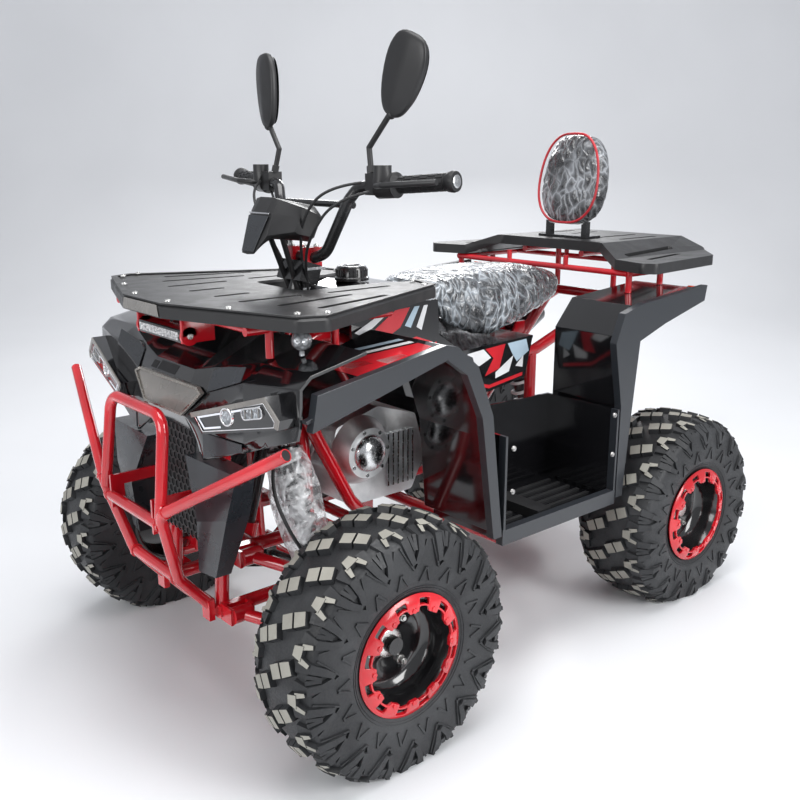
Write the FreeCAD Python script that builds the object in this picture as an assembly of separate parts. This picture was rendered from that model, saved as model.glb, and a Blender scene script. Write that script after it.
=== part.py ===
import FreeCAD, Part
import math
import os
from types import SimpleNamespace

# A petrol quad bike with a tubular frame, balloon tyres, two carrier racks and a backrest.
# It faces -Y with its left side towards +X, Z is up, and the origin is on the floor
# half way between the axles.

V = FreeCAD.Vector
ORIGIN = V(0, 0, 0)
X_DIR = V(1, 0, 0)
Y_DIR = V(0, 1, 0)
Z_DIR = V(0, 0, 1)
SIDES = {"left": 1, "right": -1}

SIZES = {
    # whole vehicle
    "wheelbase": "964",
    "half_width": "400",
    "deck_height": "830",
    "panel": "6",
    "running_gap": "0.3",
    "overrun": "20",
    # front wheels
    "front_tyre_dia": "483",
    "front_tyre_width": "165",
    "front_wheel_x": "424.7",
    # rear wheels
    "rear_tyre_dia": "478",
    "rear_tyre_width": "205",
    "rear_wheel_x": "357",
    # wheels
    "rim_dia": "206",
    "rim_wall": "5",
    "front_rim_width": "140",
    "rear_rim_width": "180",
    "ring_dia": "229",
    "ring_inner_dia": "176",
    "ring_thickness": "9",
    "ring_window_length": "26",
    "ring_window_width": "9",
    "disc_depth": "58",
    "disc_thickness": "8",
    "hub_dia": "64",
    "hub_length": "46",
    "hub_bore": "22",
    "lug_nut_circle": "100",
    "lug_nut_dia": "20",
    "lug_nut_height": "14",
    "spindle_nut_dia": "32",
    "spindle_nut_height": "16",
    # frame
    "frame_tube": "28",
    "frame_bend": "60",
    "step_bar_tube": "26",
    "step_bar_reach": "360",
    "weld_overlap": "4",
    # bumper
    "bumper_tube": "22",
    "bumper_bend": "34",
    # racks
    "rack_thickness": "24",
    "rack_bevel": "5",
    "rack_corner": "18",
    "rack_slot_width": "14",
    "rack_tube": "16",
    "rear_rack_rise": "30",
    # light bar
    "light_bar_length": "168",
    "light_bar_height": "24",
    "light_bar_depth": "34",
    # front suspension
    "kingpin_x": "330",
    "ball_joint_upper": "308",
    "ball_joint_lower": "186",
    "arm_tube": "24",
    "arm_pivot_dia": "34",
    "arm_pivot_length": "40",
    "ball_joint_dia": "30",
    "shock_body_dia": "36",
    "spring_dia": "62",
    "spring_wire": "9",
    "spring_turns": "9",
    # knuckles
    "knuckle_width": "34",
    "knuckle_depth": "44",
    "brake_disc_thickness": "5",
    "steer_arm_length": "86",
    "steer_arm_width": "26",
    "steer_arm_thickness": "10",
    # steering
    "steer_rake": "16",
    "column_dia": "30",
    "pitman_length": "80",
    "pitman_stud_dia": "10",
    "pitman_stud_length": "16.5",
    "pitman_stud_clearance": "8",
    "pitman_spread": "18",
    "bushing_wall": "8",
    "bushing_length": "30",
    "tie_rod_dia": "14",
    "tie_rod_eye": "28",
    "handlebar_tube": "23",
    "handlebar_bend": "48",
    "grip_dia": "31",
    "grip_length": "130",
    "grip_flange_dia": "48",
    "grip_flange": "6",
    "grip_end_dia": "40",
    "perch_length": "24",
    "stem_lean": "0.7",
    "perch_depth": "34",
    "perch_overlap": "4",
    "mirror_height": "152",
    "mirror_width": "90",
    "mirror_depth": "26",
    "mirror_stem": "11",
    # seat and backrest
    "seat_half_width": "132",
    "seat_round": "30",
    "backrest_width": "196",
    "backrest_height": "232",
    "backrest_depth": "74",
    "backrest_lean": "8",
    # engine
    "crankcase_width": "206",
    "cover_dia": "150",
    "cover_depth": "34",
    "cylinder_dia": "108",
    "cylinder_length": "58",
    "fin_count": "4",
    "fin_thickness": "4",
    "muffler_dia": "92",
    "muffler_length": "300",
    "pipe_dia": "27",
    # rear axle
    "axle_dia": "32",
    "axle_housing_dia": "58",
    "axle_housing_length": "170",
    "sprocket_dia": "190",
    "sprocket_thickness": "6",
    "rear_disc_dia": "190",
    "swingarm_tube": "36",
    "swingarm_half_width": "88",
}

# Places on the body are shares of the wheelbase along Y, of deck_height along Z
# and of half_width along X.


def read_sizes(doc):
    """Fill the spreadsheet and return its values by name."""
    sheet = doc.addObject("Spreadsheet::Sheet", "Sizes")
    for row, (alias, value) in enumerate(SIZES.items(), start=1):
        sheet.set(f"A{row}", alias)
        sheet.set(f"B{row}", value)
        sheet.setAlias(f"B{row}", alias)
    doc.recompute()
    return SimpleNamespace(**{alias: float(getattr(sheet, alias)) for alias in SIZES})


doc = FreeCAD.newDocument("QuadBike")
s = read_sizes(doc)
nodes = {}


def place(x_share, y_share, z_share):
    """A point of the body from its three shares."""
    return V(x_share * s.half_width, y_share * s.wheelbase, z_share * s.deck_height)


def places(shares):
    return [place(*share) for share in shares]


def across(point):
    """The same place on the other side of the vehicle."""
    return V(-point.x, point.y, point.z)


def mirrored(shape):
    return shape.mirror(ORIGIN, X_DIR)


def on_side(shape, side):
    return shape if side > 0 else mirrored(shape)


def both_sides(shape):
    return [shape, mirrored(shape)]


def fused(shapes):
    """One shape from overlapping solids, without the seams between them."""
    first, *rest = shapes
    return first.fuse(rest).removeSplitter() if rest else first


def publish(node, *shapes):
    """Keep a sub-part as one document object that holds the given solids."""
    feature = doc.addObject("Part::Feature", node)
    feature.Label = node
    feature.Shape = shapes[0] if len(shapes) == 1 else Part.makeCompound(shapes)
    nodes[node] = feature
    return feature


def cylinder(start, end, diameter):
    return Part.makeCylinder(diameter / 2, (end - start).Length, start, end - start)


def cone(start, end, start_dia, end_dia):
    return Part.makeCone(start_dia / 2, end_dia / 2, (end - start).Length, start, end - start)


def box(low, high):
    return Part.makeBox(high.x - low.x, high.y - low.y, high.z - low.z, low)


def corner_arc(before, at, after, radius):
    """Start, middle and end of the tangent arc that rounds one corner of a path."""
    back = (before - at).normalize()
    ahead = (after - at).normalize()
    half = back.getAngle(ahead) / 2
    longest_reach = min((before - at).Length, (after - at).Length) * 0.45
    reach = min(radius / math.tan(half), longest_reach)
    radius = reach * math.tan(half)
    bisector = (back + ahead).normalize()
    middle = at + bisector * (radius / math.sin(half) - radius)
    return at + back * reach, middle, at + ahead * reach


def path(points, radius, closed=False):
    """Straight runs joined by tangent arcs, as one wire. The radius may be a list."""
    count = len(points)
    radii = radius if isinstance(radius, list) else [radius] * count
    stops = []
    for i, point in enumerate(points):
        is_end = not closed and i in (0, count - 1)
        if is_end or radii[i] == 0:
            stops.append((point, None, point))
        else:
            stops.append(corner_arc(points[i - 1], point, points[(i + 1) % count], radii[i]))
    edges = []
    for i, (start, middle, end) in enumerate(stops):
        if middle is not None:
            edges.append(Part.Arc(start, middle, end).toShape())
        if i + 1 < count or closed:
            following = stops[(i + 1) % count][0]
            edges.append(Part.LineSegment(end, following).toShape())
    return Part.Wire(edges)


def tube(points, diameter, bend):
    """A round bar bent along a path."""
    wire = path(points, bend)
    section = Part.makeCircle(diameter / 2, points[0], points[1] - points[0])
    return wire.makePipeShell([Part.Wire(section)], True, False)


def plate(points, radius, sweep):
    """A flat outline with rounded corners, extruded along a vector."""
    return Part.Face(path(points, radius, closed=True)).extrude(sweep)


def profile(shares, x):
    """Points of a side view outline at one X, from shares of wheelbase and deck_height."""
    return [V(x, y * s.wheelbase, z * s.deck_height) for y, z in shares]


def plan(shares, z):
    """Points of a top view outline at one height, from shares of half_width and wheelbase."""
    return [V(x * s.half_width, y * s.wheelbase, z) for x, y in shares]


def plan_both(shares, z):
    """The same outline closed across the middle: the shares give its left half."""
    left = plan(shares, z)
    return left + [across(point) for point in reversed(left)]


def line_height(shares, y_share):
    """Height of a side view line at one place along it."""
    for (y0, z0), (y1, z1) in zip(shares, shares[1:]):
        if min(y0, y1) <= y_share <= max(y0, y1):
            return (z0 + (z1 - z0) * (y_share - y0) / (y1 - y0)) * s.deck_height
    raise ValueError("the line does not reach this place")


def strip(points, thickness, normal):
    """Outline of a bent sheet: an open line of points and the same line set off to its left."""
    shifted = []
    for i, point in enumerate(points):
        before = (point - points[i - 1]).normalize() if i else None
        after = (points[i + 1] - point).normalize() if i + 1 < len(points) else None
        before = before or after
        after = after or before
        left_before = normal.cross(before)
        left_after = normal.cross(after)
        miter = (left_before + left_after).normalize()
        shifted.append(point + miter * (thickness / miter.dot(left_before)))
    return points + shifted[::-1]


def loft(sections):
    """A faceted solid through closed outlines with as many points each."""
    wires = [Part.makePolygon(section + section[:1]) for section in sections]
    return Part.makeLoft(wires, True, True)


def post_foot(shares, y, dia):
    """Lowest level at which an upright post of this diameter stands clear of a side view line."""
    reach = dia / 2
    levels = [line_height(shares, (y + step * reach) / s.wheelbase) for step in (-1, 1)]
    return max(levels) + s.running_gap


# The steering axis leans back from its foot to its top.
rake = math.radians(s.steer_rake)
steer_axis = V(0, math.sin(rake), math.cos(rake))
steer_top = place(0.0, -0.36515, 1.02771)


def on_column(distance):
    """A point on the steering axis, below its top."""
    return steer_top - steer_axis * distance


# Wheels: every wheel is turned about the X axis through its hub.
def ring_profile(points):
    """A solid turned about the X axis, from (x, radius) points of its section."""
    wire = Part.makePolygon([V(x, 0, r) for x, r in points + points[:1]])
    return Part.Face(wire).revolve(ORIGIN, X_DIR, 360)


def tyre(diameter, width):
    """A balloon tyre with its axis along X, centred on the origin."""
    outer = diameter / 2
    half = width / 2
    bead = s.rim_dia / 2 + s.running_gap
    bead_half = half * 0.78
    section = [
        V(-bead_half, 0, bead),
        V(-half * 0.93, 0, bead + (outer - bead) * 0.24),
        V(-half, 0, bead + (outer - bead) * 0.52),
        V(-half * 0.97, 0, bead + (outer - bead) * 0.76),
        V(-half * 0.80, 0, outer * 0.965),
        V(-half * 0.42, 0, outer * 0.992),
        V(0, 0, outer),
    ]
    right = section + [V(-p.x, 0, p.z) for p in section[-2::-1]]
    edges = [
        Part.Arc(right[0], right[1], right[2]).toShape(),
        Part.Arc(right[2], right[3], right[4]).toShape(),
        Part.Arc(right[4], right[6], right[8]).toShape(),
        Part.Arc(right[8], right[9], right[10]).toShape(),
        Part.Arc(right[10], right[11], right[12]).toShape(),
        Part.LineSegment(right[12], right[0]).toShape(),
    ]
    return Part.Face(Part.Wire(edges)).revolve(ORIGIN, X_DIR, 360)


def rim(width, count=12):
    """A dished rim with its ring, hub and nuts. Its outer face looks along +X."""
    outer = s.rim_dia / 2
    inner = outer - s.rim_wall
    half = width / 2
    ring_x = half
    disc_x = ring_x - s.disc_depth
    barrel = ring_profile([(-half, outer), (half, outer), (half, inner), (-half, inner)])
    disc = ring_profile([
        (disc_x, inner + s.rim_wall / 2),
        (disc_x, s.hub_bore / 2),
        (disc_x - s.disc_thickness, s.hub_bore / 2),
        (disc_x - s.disc_thickness, inner + s.rim_wall / 2),
    ])
    ring = ring_profile([
        (ring_x, s.ring_dia / 2),
        (ring_x + s.ring_thickness, s.ring_dia / 2 - s.ring_thickness / 2),
        (ring_x + s.ring_thickness, s.ring_inner_dia / 2),
        (ring_x, s.ring_inner_dia / 2),
    ])
    hub = ring_profile([
        (disc_x + s.rim_wall, s.hub_dia / 2),
        (disc_x + s.rim_wall, s.hub_bore / 2),
        (disc_x + s.rim_wall - s.hub_length, s.hub_bore / 2),
        (disc_x + s.rim_wall - s.hub_length, s.hub_dia / 2),
    ])
    nuts = []
    for i in range(3):
        angle = 2 * math.pi * i / 3
        centre = V(disc_x - s.disc_thickness / 2, 0, 0)
        centre += V(0, math.cos(angle), math.sin(angle)) * (s.lug_nut_circle / 2)
        nuts.append(cylinder(centre, centre + X_DIR * s.lug_nut_height, s.lug_nut_dia))
    whole = fused([barrel, disc, ring, hub] + nuts)
    window_radius = (s.ring_dia + s.ring_inner_dia) / 4
    window = box(
        V(ring_x - s.overrun, -s.ring_window_length / 2, window_radius - s.ring_window_width / 2),
        V(ring_x + s.overrun, s.ring_window_length / 2, window_radius + s.ring_window_width / 2),
    )
    windows = []
    for i in range(count):
        turned = window.copy()
        turned.rotate(ORIGIN, X_DIR, 360 * i / count)
        windows.append(turned)
    return whole.cut(windows).fuse(barrel)


front_hub = V(s.front_wheel_x, -s.wheelbase / 2, s.front_tyre_dia / 2)
rear_hub = V(s.rear_wheel_x, s.wheelbase / 2, s.rear_tyre_dia / 2)


def make_front_wheels():
    front_tyre = tyre(s.front_tyre_dia, s.front_tyre_width).translated(front_hub)
    front_rim = rim(s.front_rim_width).translated(front_hub)
    for name, side in SIDES.items():
        publish(f"front_tyre_{name}", on_side(front_tyre, side))
        publish(f"front_rim_{name}", on_side(front_rim, side))


def make_rear_wheels():
    rear_tyre = tyre(s.rear_tyre_dia, s.rear_tyre_width).translated(rear_hub)
    rear_rim = rim(s.rear_rim_width).translated(rear_hub)
    publish("rear_tyres", *both_sides(rear_tyre))
    publish("rear_rims", *both_sides(rear_rim))


def hub_face_x(wheel_x, rim_width):
    """Where the back of a wheel's hub is."""
    return wheel_x + rim_width / 2 - s.disc_depth + s.rim_wall - s.hub_length


def make_rear_axle():
    """The live axle with the sprocket, the brake disc, a hub flange and a nut at each end."""
    wheel_face = rear_hub.x + s.rear_rim_width / 2 - s.disc_depth
    tip = V(wheel_face + s.spindle_nut_height, rear_hub.y, rear_hub.z)
    centre = V(0, rear_hub.y, rear_hub.z)
    nut_seat = V(wheel_face + s.rim_wall, rear_hub.y, rear_hub.z)
    flange_x = hub_face_x(s.rear_wheel_x, s.rear_rim_width)
    half = s.axle_housing_length / 2
    sprocket_x = half + s.sprocket_thickness * 3
    pieces = [cylinder(V(-flange_x, centre.y, centre.z), V(flange_x, centre.y, centre.z), s.axle_dia)]
    for side in SIDES.values():
        face = V(side * flange_x, centre.y, centre.z)
        end = V(side * (tip.x + s.rim_wall), tip.y, tip.z)
        seat = V(side * nut_seat.x, centre.y, centre.z)
        pieces.append(cylinder(face, end, s.hub_bore - 2 * s.running_gap))
        pieces.append(cylinder(seat, seat + X_DIR * side * s.spindle_nut_height, s.spindle_nut_dia))
        pieces.append(cylinder(face - X_DIR * side * s.disc_thickness, face, s.hub_dia))
    left = V(sprocket_x, centre.y, centre.z)
    right = V(-sprocket_x, centre.y, centre.z)
    pieces.append(cylinder(left, left + X_DIR * s.sprocket_thickness, s.sprocket_dia))
    pieces.append(cylinder(right - X_DIR * s.brake_disc_thickness, right, s.rear_disc_dia))
    publish("rear_axle", fused(pieces))


# Knuckles with their stub axle, brake disc and steering arm.
def make_knuckles():
    hub_back = hub_face_x(s.front_wheel_x, s.front_rim_width)
    axle = V(0, front_hub.y, front_hub.z)
    half_w = s.knuckle_width / 2
    half_d = s.knuckle_depth / 2
    low = s.ball_joint_lower + s.ball_joint_dia / 2 + s.running_gap
    high = s.ball_joint_upper - s.ball_joint_dia / 2 - s.running_gap
    upright = box(
        V(s.kingpin_x - half_w, axle.y - half_d, low),
        V(s.kingpin_x + half_w, axle.y + half_d, high),
    )
    seat = front_hub.x + s.front_rim_width / 2 - s.disc_depth + s.rim_wall + s.running_gap
    start = V(s.kingpin_x, axle.y, axle.z)
    stub = cylinder(start, V(seat + s.spindle_nut_height, axle.y, axle.z), s.hub_bore - 2 * s.running_gap)
    nut = cylinder(V(seat, axle.y, axle.z), V(seat + s.spindle_nut_height, axle.y, axle.z), s.spindle_nut_dia)
    boss = cylinder(start, V(hub_back - s.running_gap, axle.y, axle.z), s.hub_dia)
    caliper_low = V(s.kingpin_x, axle.y + half_d, axle.z - half_d)
    caliper = box(caliper_low, caliper_low + V(s.knuckle_depth, s.knuckle_depth, s.knuckle_depth * 1.4))
    arm_z = steer_arm_level()
    arm = box(
        V(s.kingpin_x - s.steer_arm_width - half_w, axle.y + half_d - s.steer_arm_thickness, arm_z),
        V(s.kingpin_x - half_w, axle.y + s.steer_arm_length, arm_z + s.steer_arm_thickness),
    )
    lug = box(
        V(s.kingpin_x - s.steer_arm_width - half_w, axle.y - half_d, arm_z),
        V(s.kingpin_x, axle.y + half_d, arm_z + s.steer_arm_thickness),
    )
    whole = fused([upright, stub, nut, boss, caliper, arm, lug])
    for name, side in SIDES.items():
        publish(f"knuckle_{name}", on_side(whole, side))


def steer_arm_level():
    """Height of the steering arms' undersides."""
    return (s.ball_joint_lower + s.ball_joint_upper) / 2 + s.steer_arm_thickness * 0.6


def tie_rod_pivot():
    """Seat of the ball joint on top of the left steering arm."""
    x = s.kingpin_x - s.knuckle_width / 2 - s.steer_arm_width / 2
    y = front_hub.y + s.steer_arm_length - s.steer_arm_width / 2
    return V(x, y, steer_arm_level() + s.steer_arm_thickness + s.running_gap)


# Suspension
ARM_SHARES = {
    "upper": [(0.345, -0.600, 0.402), (0.345, -0.417, 0.402)],
    "lower": [(0.350, -0.628, 0.268), (0.350, -0.400, 0.268)],
}


def shock_foot_clevis(foot, brace_z):
    """Two upright ears on the lower arm's brace that hold the shock's lower eye."""
    eye_dia = s.shock_body_dia * 0.8
    half = s.shock_body_dia / 2 + s.running_gap
    outer = half + s.panel
    block = box(V(foot.x - eye_dia / 2, foot.y - outer, brace_z), V(foot.x + eye_dia / 2, foot.y + outer, foot.z + eye_dia / 2))
    room_low = foot.z - eye_dia / 2 - s.running_gap
    room = box(V(foot.x - eye_dia, foot.y - half, room_low), V(foot.x + eye_dia, foot.y + half, foot.z + eye_dia))
    return block.cut(room)


def make_front_arms():
    heights = {"upper": s.ball_joint_upper, "lower": s.ball_joint_lower}
    arms = []
    for level, shares in ARM_SHARES.items():
        tip = V(s.kingpin_x, front_hub.y, heights[level])
        pieces = []
        for pivot in places(shares):
            lean = V(s.ball_joint_dia / 3, 0, 0)
            pieces.append(cylinder(pivot, tip - lean, s.arm_tube))
            half = Y_DIR * (s.arm_pivot_length / 2)
            pieces.append(cylinder(pivot - half, pivot + half, s.arm_pivot_dia))
        if level == "lower":
            foot = place(*SHOCK_FOOT_SHARES)
            front, rear = places(shares)
            reach_share = (foot.x - front.x) / (tip.x - front.x)
            start, end = front + (tip - front) * reach_share, rear + (tip - rear) * reach_share
            pieces.append(cylinder(start, end, s.arm_tube * 0.8))
            pieces.append(shock_foot_clevis(foot, start.z))
        socket = Z_DIR * (s.ball_joint_dia / 2)
        pieces.append(cylinder(tip - socket, tip + socket, s.ball_joint_dia))
        arms.append(fused(pieces))
    for name, side in SIDES.items():
        publish(f"front_arms_{name}", *[on_side(arm, side) for arm in arms])


def spring_stack(start, end, outer, wire, turns):
    """The rings of a coil spring on a damper, as one solid with the damper through them."""
    axis = end - start
    rings = []
    for i in range(int(turns)):
        centre = start + axis * ((i + 0.5) / turns)
        rings.append(Part.makeTorus((outer - wire) / 2, wire / 2, centre, axis))
    return rings


SHOCK_TOP_SHARES = (0.34, -0.520, 0.690)
SHOCK_FOOT_SHARES = (0.585, -0.500, 0.300)


def shock(top, foot, eye_length, eye_dir):
    """A coil-over damper from its upper to its lower eye."""
    axis = foot - top
    along = axis.normalize()
    length = (foot - top).Length
    seat_top = top + along * s.shock_body_dia
    seat_low = top + along * (length * 0.80)
    pieces = [
        cylinder(top, foot, s.shock_body_dia * 0.6),
        cylinder(seat_top, seat_top + along * s.spring_wire, s.spring_dia),
        cylinder(seat_low, seat_low + along * s.spring_wire, s.spring_dia),
        cylinder(seat_top, seat_low, s.spring_dia - 1.9 * s.spring_wire),
    ]
    pieces += spring_stack(seat_top + along * s.spring_wire, seat_low, s.spring_dia, s.spring_wire, s.spring_turns)
    for eye in (top, foot):
        half = eye_dir * (eye_length / 2)
        pieces.append(cylinder(eye - half, eye + half, s.shock_body_dia * 0.8))
    return fused(pieces)


def make_front_shocks():
    top = place(*SHOCK_TOP_SHARES)
    foot = place(*SHOCK_FOOT_SHARES)
    publish("front_shocks", *both_sides(shock(top, foot, s.shock_body_dia, Y_DIR)))


# Frame: the left side of each tube, then the tubes that cross.
FRAME_SHARES = [
    [(0.26, -0.660, 0.268), (0.26, -0.395, 0.268), (0.325, -0.270, 0.349), (0.325, 0.240, 0.349)],
    [(0.325, -0.255, 0.349), (0.325, -0.342, 0.463), (0.32, -0.425, 0.645), (0.262, -0.487, 0.840),
     (0.262, -0.395, 0.896), (0.24, -0.090, 0.745), (0.24, 0.280, 0.745), (0.235, 0.600, 0.870)],
    [(0.238, -0.645, 0.268), (0.238, -0.622, 0.675), (0.262, -0.487, 0.840)],
    [(0.25, -0.425, 0.268), (0.25, -0.440, 0.640), (0.262, -0.487, 0.840)],
    [(0.325, 0.230, 0.349), (0.24, 0.270, 0.745)],
    [(0.325, 0.190, 0.349), (0.24, 0.560, 0.855)],
    [(0.241, -0.630, 0.402), (0.25, -0.405, 0.402)],
]
SHOCK_BRACE_SHARES = [(0.243, -0.602, 0.700), (0.252, -0.452, 0.700)]
FRAME_TOP_SHARES = [(-0.487, 0.840), (-0.395, 0.896)]
REAR_CROSS_SHARE = (0.24, 0.270, 0.745)
REAR_SHOCK_SHARES = [(0.0, 0.312, 0.800), (0.0, 0.400, 0.364)]
CROSS_SHARES = [
    REAR_CROSS_SHARE,
    (0.262, -0.655, 0.268), (0.252, -0.400, 0.268), (0.236, -0.622, 0.560), (0.262, -0.487, 0.840),
    (0.325, -0.255, 0.349), (0.325, 0.225, 0.349), (0.235, 0.600, 0.870),
    (0.30, -0.545, 0.700), (0.241, -0.565, 0.402),
]
STEP_BAR_SHARES = [-0.120, 0.165]
BUSHING_SHARES = [(0.27, (-0.487, 0.840)), (0.88, (-0.565, 0.402))]
ENGINE_MOUNT_SHARES = (0.20, -0.270, 0.349)


SEAT_PAD_SHARES = [(0.24, -0.025, 0.745), (0.24, 0.150, 0.745)]
RACK_STAY_SHARES = (0.262, -0.475, 0.850)


def step_bar_level():
    """Height of the bars across the lower rails that the footwells rest on."""
    rail = place(*FRAME_SHARES[0][-1])
    return rail.z + (s.frame_tube + s.step_bar_tube) / 2 - s.weld_overlap


def floor_level():
    """Underside of the footwells' floors."""
    return step_bar_level() + s.step_bar_tube / 2 + s.running_gap


def clevis(pin, reach, length, dia):
    """Two ears about a pivot barrel along Y, joined by a back plate at the inner end."""
    half = length / 2 + s.running_gap
    inner = pin.x - reach
    high = dia / 2
    outer = pin.x + high * 0.4
    block = box(V(inner, pin.y - half - s.panel, pin.z - high), V(outer, pin.y + half + s.panel, pin.z + high))
    room_x = pin.x - dia / 2 - s.running_gap
    room = box(V(room_x, pin.y - half, pin.z - dia), V(pin.x + dia, pin.y + half, pin.z + dia))
    return block.cut(room)


def arm_clevises():
    brackets = []
    for shares in ARM_SHARES.values():
        for pivot in places(shares):
            brackets += both_sides(clevis(pivot, s.arm_pivot_dia, s.arm_pivot_length, s.arm_pivot_dia))
    return brackets


def shock_clevises():
    eye_dia = s.shock_body_dia * 0.8
    front = clevis(place(*SHOCK_TOP_SHARES), eye_dia * 1.3, s.shock_body_dia, eye_dia)
    top = place(*REAR_SHOCK_SHARES[0])
    rear_tube = place(*REAR_CROSS_SHARE)
    inner = s.shock_body_dia / 2 + s.running_gap
    reach = eye_dia / 2
    corners = [
        V(inner, rear_tube.y - reach / 2, rear_tube.z), V(inner, rear_tube.y + reach / 2, rear_tube.z),
        V(inner, top.y + reach, top.z - reach * 0.8), V(inner, top.y + reach, top.z + reach),
        V(inner, top.y - reach, top.z + reach),
    ]
    ear = plate(corners, 0, X_DIR * s.panel)
    return both_sides(front) + both_sides(ear)


def steering_bushings():
    """Sleeves that carry the steering column, each on a bracket from a cross tube."""
    sleeves = []
    half = s.bushing_length / 2
    outer = s.column_dia + 2 * (s.bushing_wall + s.running_gap)
    for distance, tube_share in BUSHING_SHARES:
        centre = on_column(distance * column_reach())
        anchor = place(0, *tube_share)
        sleeve = cylinder(centre - steer_axis * half, centre + steer_axis * half, outer)
        web = box(
            V(-half / 2, anchor.y, min(anchor.z, centre.z) - half / 2),
            V(half / 2, centre.y, max(anchor.z, centre.z) + half / 2),
        )
        bore_start = centre - steer_axis * s.bushing_length
        bore = cylinder(bore_start, centre + steer_axis * s.bushing_length, s.column_dia + 2 * s.running_gap)
        sleeves.append(fused([sleeve, web]).cut(bore))
    return sleeves


def engine_mounts():
    """Upright plates between the lower cross tube and the crankcase."""
    foot = place(*ENGINE_MOUNT_SHARES)
    top = CRANKCASE_SHARES[-1][1] * s.deck_height - s.running_gap
    mount = box(foot, V(foot.x + s.panel, foot.y + s.frame_tube, top))
    return both_sides(mount)


def swingarm_ears():
    """Plates behind the rear lower cross tube, one at each end of the swingarm's pivot."""
    pivot = place(*SWINGARM_PIVOT_SHARES)
    tube_y = 0.225 * s.wheelbase
    inner = s.swingarm_half_width + s.running_gap
    high = s.swingarm_tube / 2
    ear = box(V(inner, tube_y, pivot.z - high), V(inner + s.panel, pivot.y + high, pivot.z + high))
    return both_sides(ear)


def seat_pads():
    """Rubber-topped pads on the upper rails that the saddle cover lies on."""
    pads = []
    for share in SEAT_PAD_SHARES:
        foot = place(*share)
        half = s.frame_tube * 0.35
        levels = [line_height(TANK_ROOF_SHARES, (foot.y + step * half) / s.wheelbase) for step in (-1, 1)]
        top = min(levels) - s.panel - s.running_gap
        pads += both_sides(box(V(foot.x - half, foot.y - half, foot.z), V(foot.x + half, foot.y + half, top)))
    return pads


def make_frame():
    tubes = []
    for shares in FRAME_SHARES:
        tubes += both_sides(tube(places(shares), s.frame_tube, s.frame_bend))
    for share in CROSS_SHARES:
        end = place(*share)
        tubes.append(cylinder(across(end), end, s.frame_tube * 0.9))
    for y_share in STEP_BAR_SHARES:
        end = V(s.step_bar_reach, y_share * s.wheelbase, step_bar_level())
        tubes.append(cylinder(across(end), end, s.step_bar_tube))
    start, end = places(SHOCK_BRACE_SHARES)
    tubes += both_sides(cylinder(start, end, s.frame_tube * 0.7))
    brackets = arm_clevises() + shock_clevises() + steering_bushings() + engine_mounts()
    brackets += swingarm_ears() + seat_pads()
    publish("frame", fused(tubes + brackets))


BUMPER_SIDE_SHARES = [
    (0.235, -0.672, 0.285), (0.235, -0.735, 0.372), (0.295, -0.777, 0.548), (1.037, -0.697, 0.752),
]
BUMPER_HOOP_SHARES = [(0.29, -0.775, 0.540), (0.272, -0.753, 0.762)]
BUMPER_CROSS_SHARES = [(0.235, -0.735, 0.372), (0.285, -0.773, 0.520)]
BUMPER_TAB_SHARES = (0.236, -0.622, 0.560)


def make_bumper():
    tubes = both_sides(tube(places(BUMPER_SIDE_SHARES), s.bumper_tube, s.bumper_bend))
    foot, top = places(BUMPER_HOOP_SHARES)
    tubes.append(tube([foot, top, across(top), across(foot)], s.bumper_tube, s.bumper_bend))
    for share in BUMPER_CROSS_SHARES:
        end = place(*share)
        tubes.append(cylinder(across(end), end, s.bumper_tube))
    front_cross = place(*CROSS_SHARES[1])
    half = s.frame_tube / 2
    seat = front_cross.y - s.frame_tube * 0.45 - s.running_gap
    foot = V(BUMPER_SIDE_SHARES[0][0] * s.half_width, seat, front_cross.z)
    flange = box(V(foot.x - half, foot.y - 2 * s.panel, foot.z - half), V(foot.x + half, foot.y, foot.z + s.frame_tube))
    cross = place(*BUMPER_TAB_SHARES)
    outer = place(*BUMPER_CROSS_SHARES[1])
    low, high = places(FRAME_SHARES[2][:2])
    down_y = low.y + (high.y - low.y) * (cross.z - s.bumper_tube / 2 - low.z) / (high.z - low.z)
    down_radius = s.frame_tube / 2 * (high - low).Length / (high.z - low.z)
    reach = down_y - down_radius - s.running_gap
    tab = box(
        V(outer.x - s.bumper_tube - s.panel, outer.y, cross.z - s.bumper_tube / 2),
        V(outer.x - s.bumper_tube, reach, cross.z + s.bumper_tube / 2),
    )
    lug = box(
        V(outer.x - s.bumper_tube - s.panel, outer.y - s.bumper_tube / 4, outer.z - s.bumper_tube),
        V(outer.x - s.bumper_tube, outer.y + s.bumper_tube, cross.z + s.bumper_tube / 2),
    )
    publish("bumper", fused(tubes + both_sides(flange) + both_sides(fused([tab, lug]))))


# Racks
FRONT_RACK_SHARES = [
    (0.19, -0.729), (0.89, -0.626), (0.94, -0.575), (0.50, -0.160), (0.30, -0.135), (0.215, -0.230),
    (0.215, -0.420),
]
FRONT_SLOT_SHARES = [
    [(0.12, -0.600), (0.12, -0.520)],
    [(0.34, -0.600), (0.34, -0.460)],
    [(0.55, -0.570), (0.48, -0.380)],
    [(0.72, -0.530), (0.60, -0.330)],
    [(0.36, -0.400), (0.36, -0.240)],
]
REAR_RACK_SHARES = [
    (0.40, 0.440), (0.62, 0.385), (0.86, 0.352), (0.93, 0.375), (0.86, 0.660), (0.60, 0.788),
]
REAR_SECTION_SHARES = [(1.0, 0.0), (0.62, 0.0), (0.42, 1.0)]
REAR_SLOT_SHARES = [
    [(0.16, 0.560), (0.16, 0.730)],
    [(0.34, 0.560), (0.34, 0.720)],
    [(0.60, 0.440), (0.56, 0.660)],
    [(0.76, 0.440), (0.68, 0.620)],
]


FRONT_RACK_LEVEL_SHARE = 0.965
REAR_RACK_LEVEL_SHARE = 0.990
front_rack_z = FRONT_RACK_LEVEL_SHARE * s.deck_height
rear_rack_z = REAR_RACK_LEVEL_SHARE * s.deck_height


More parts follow.
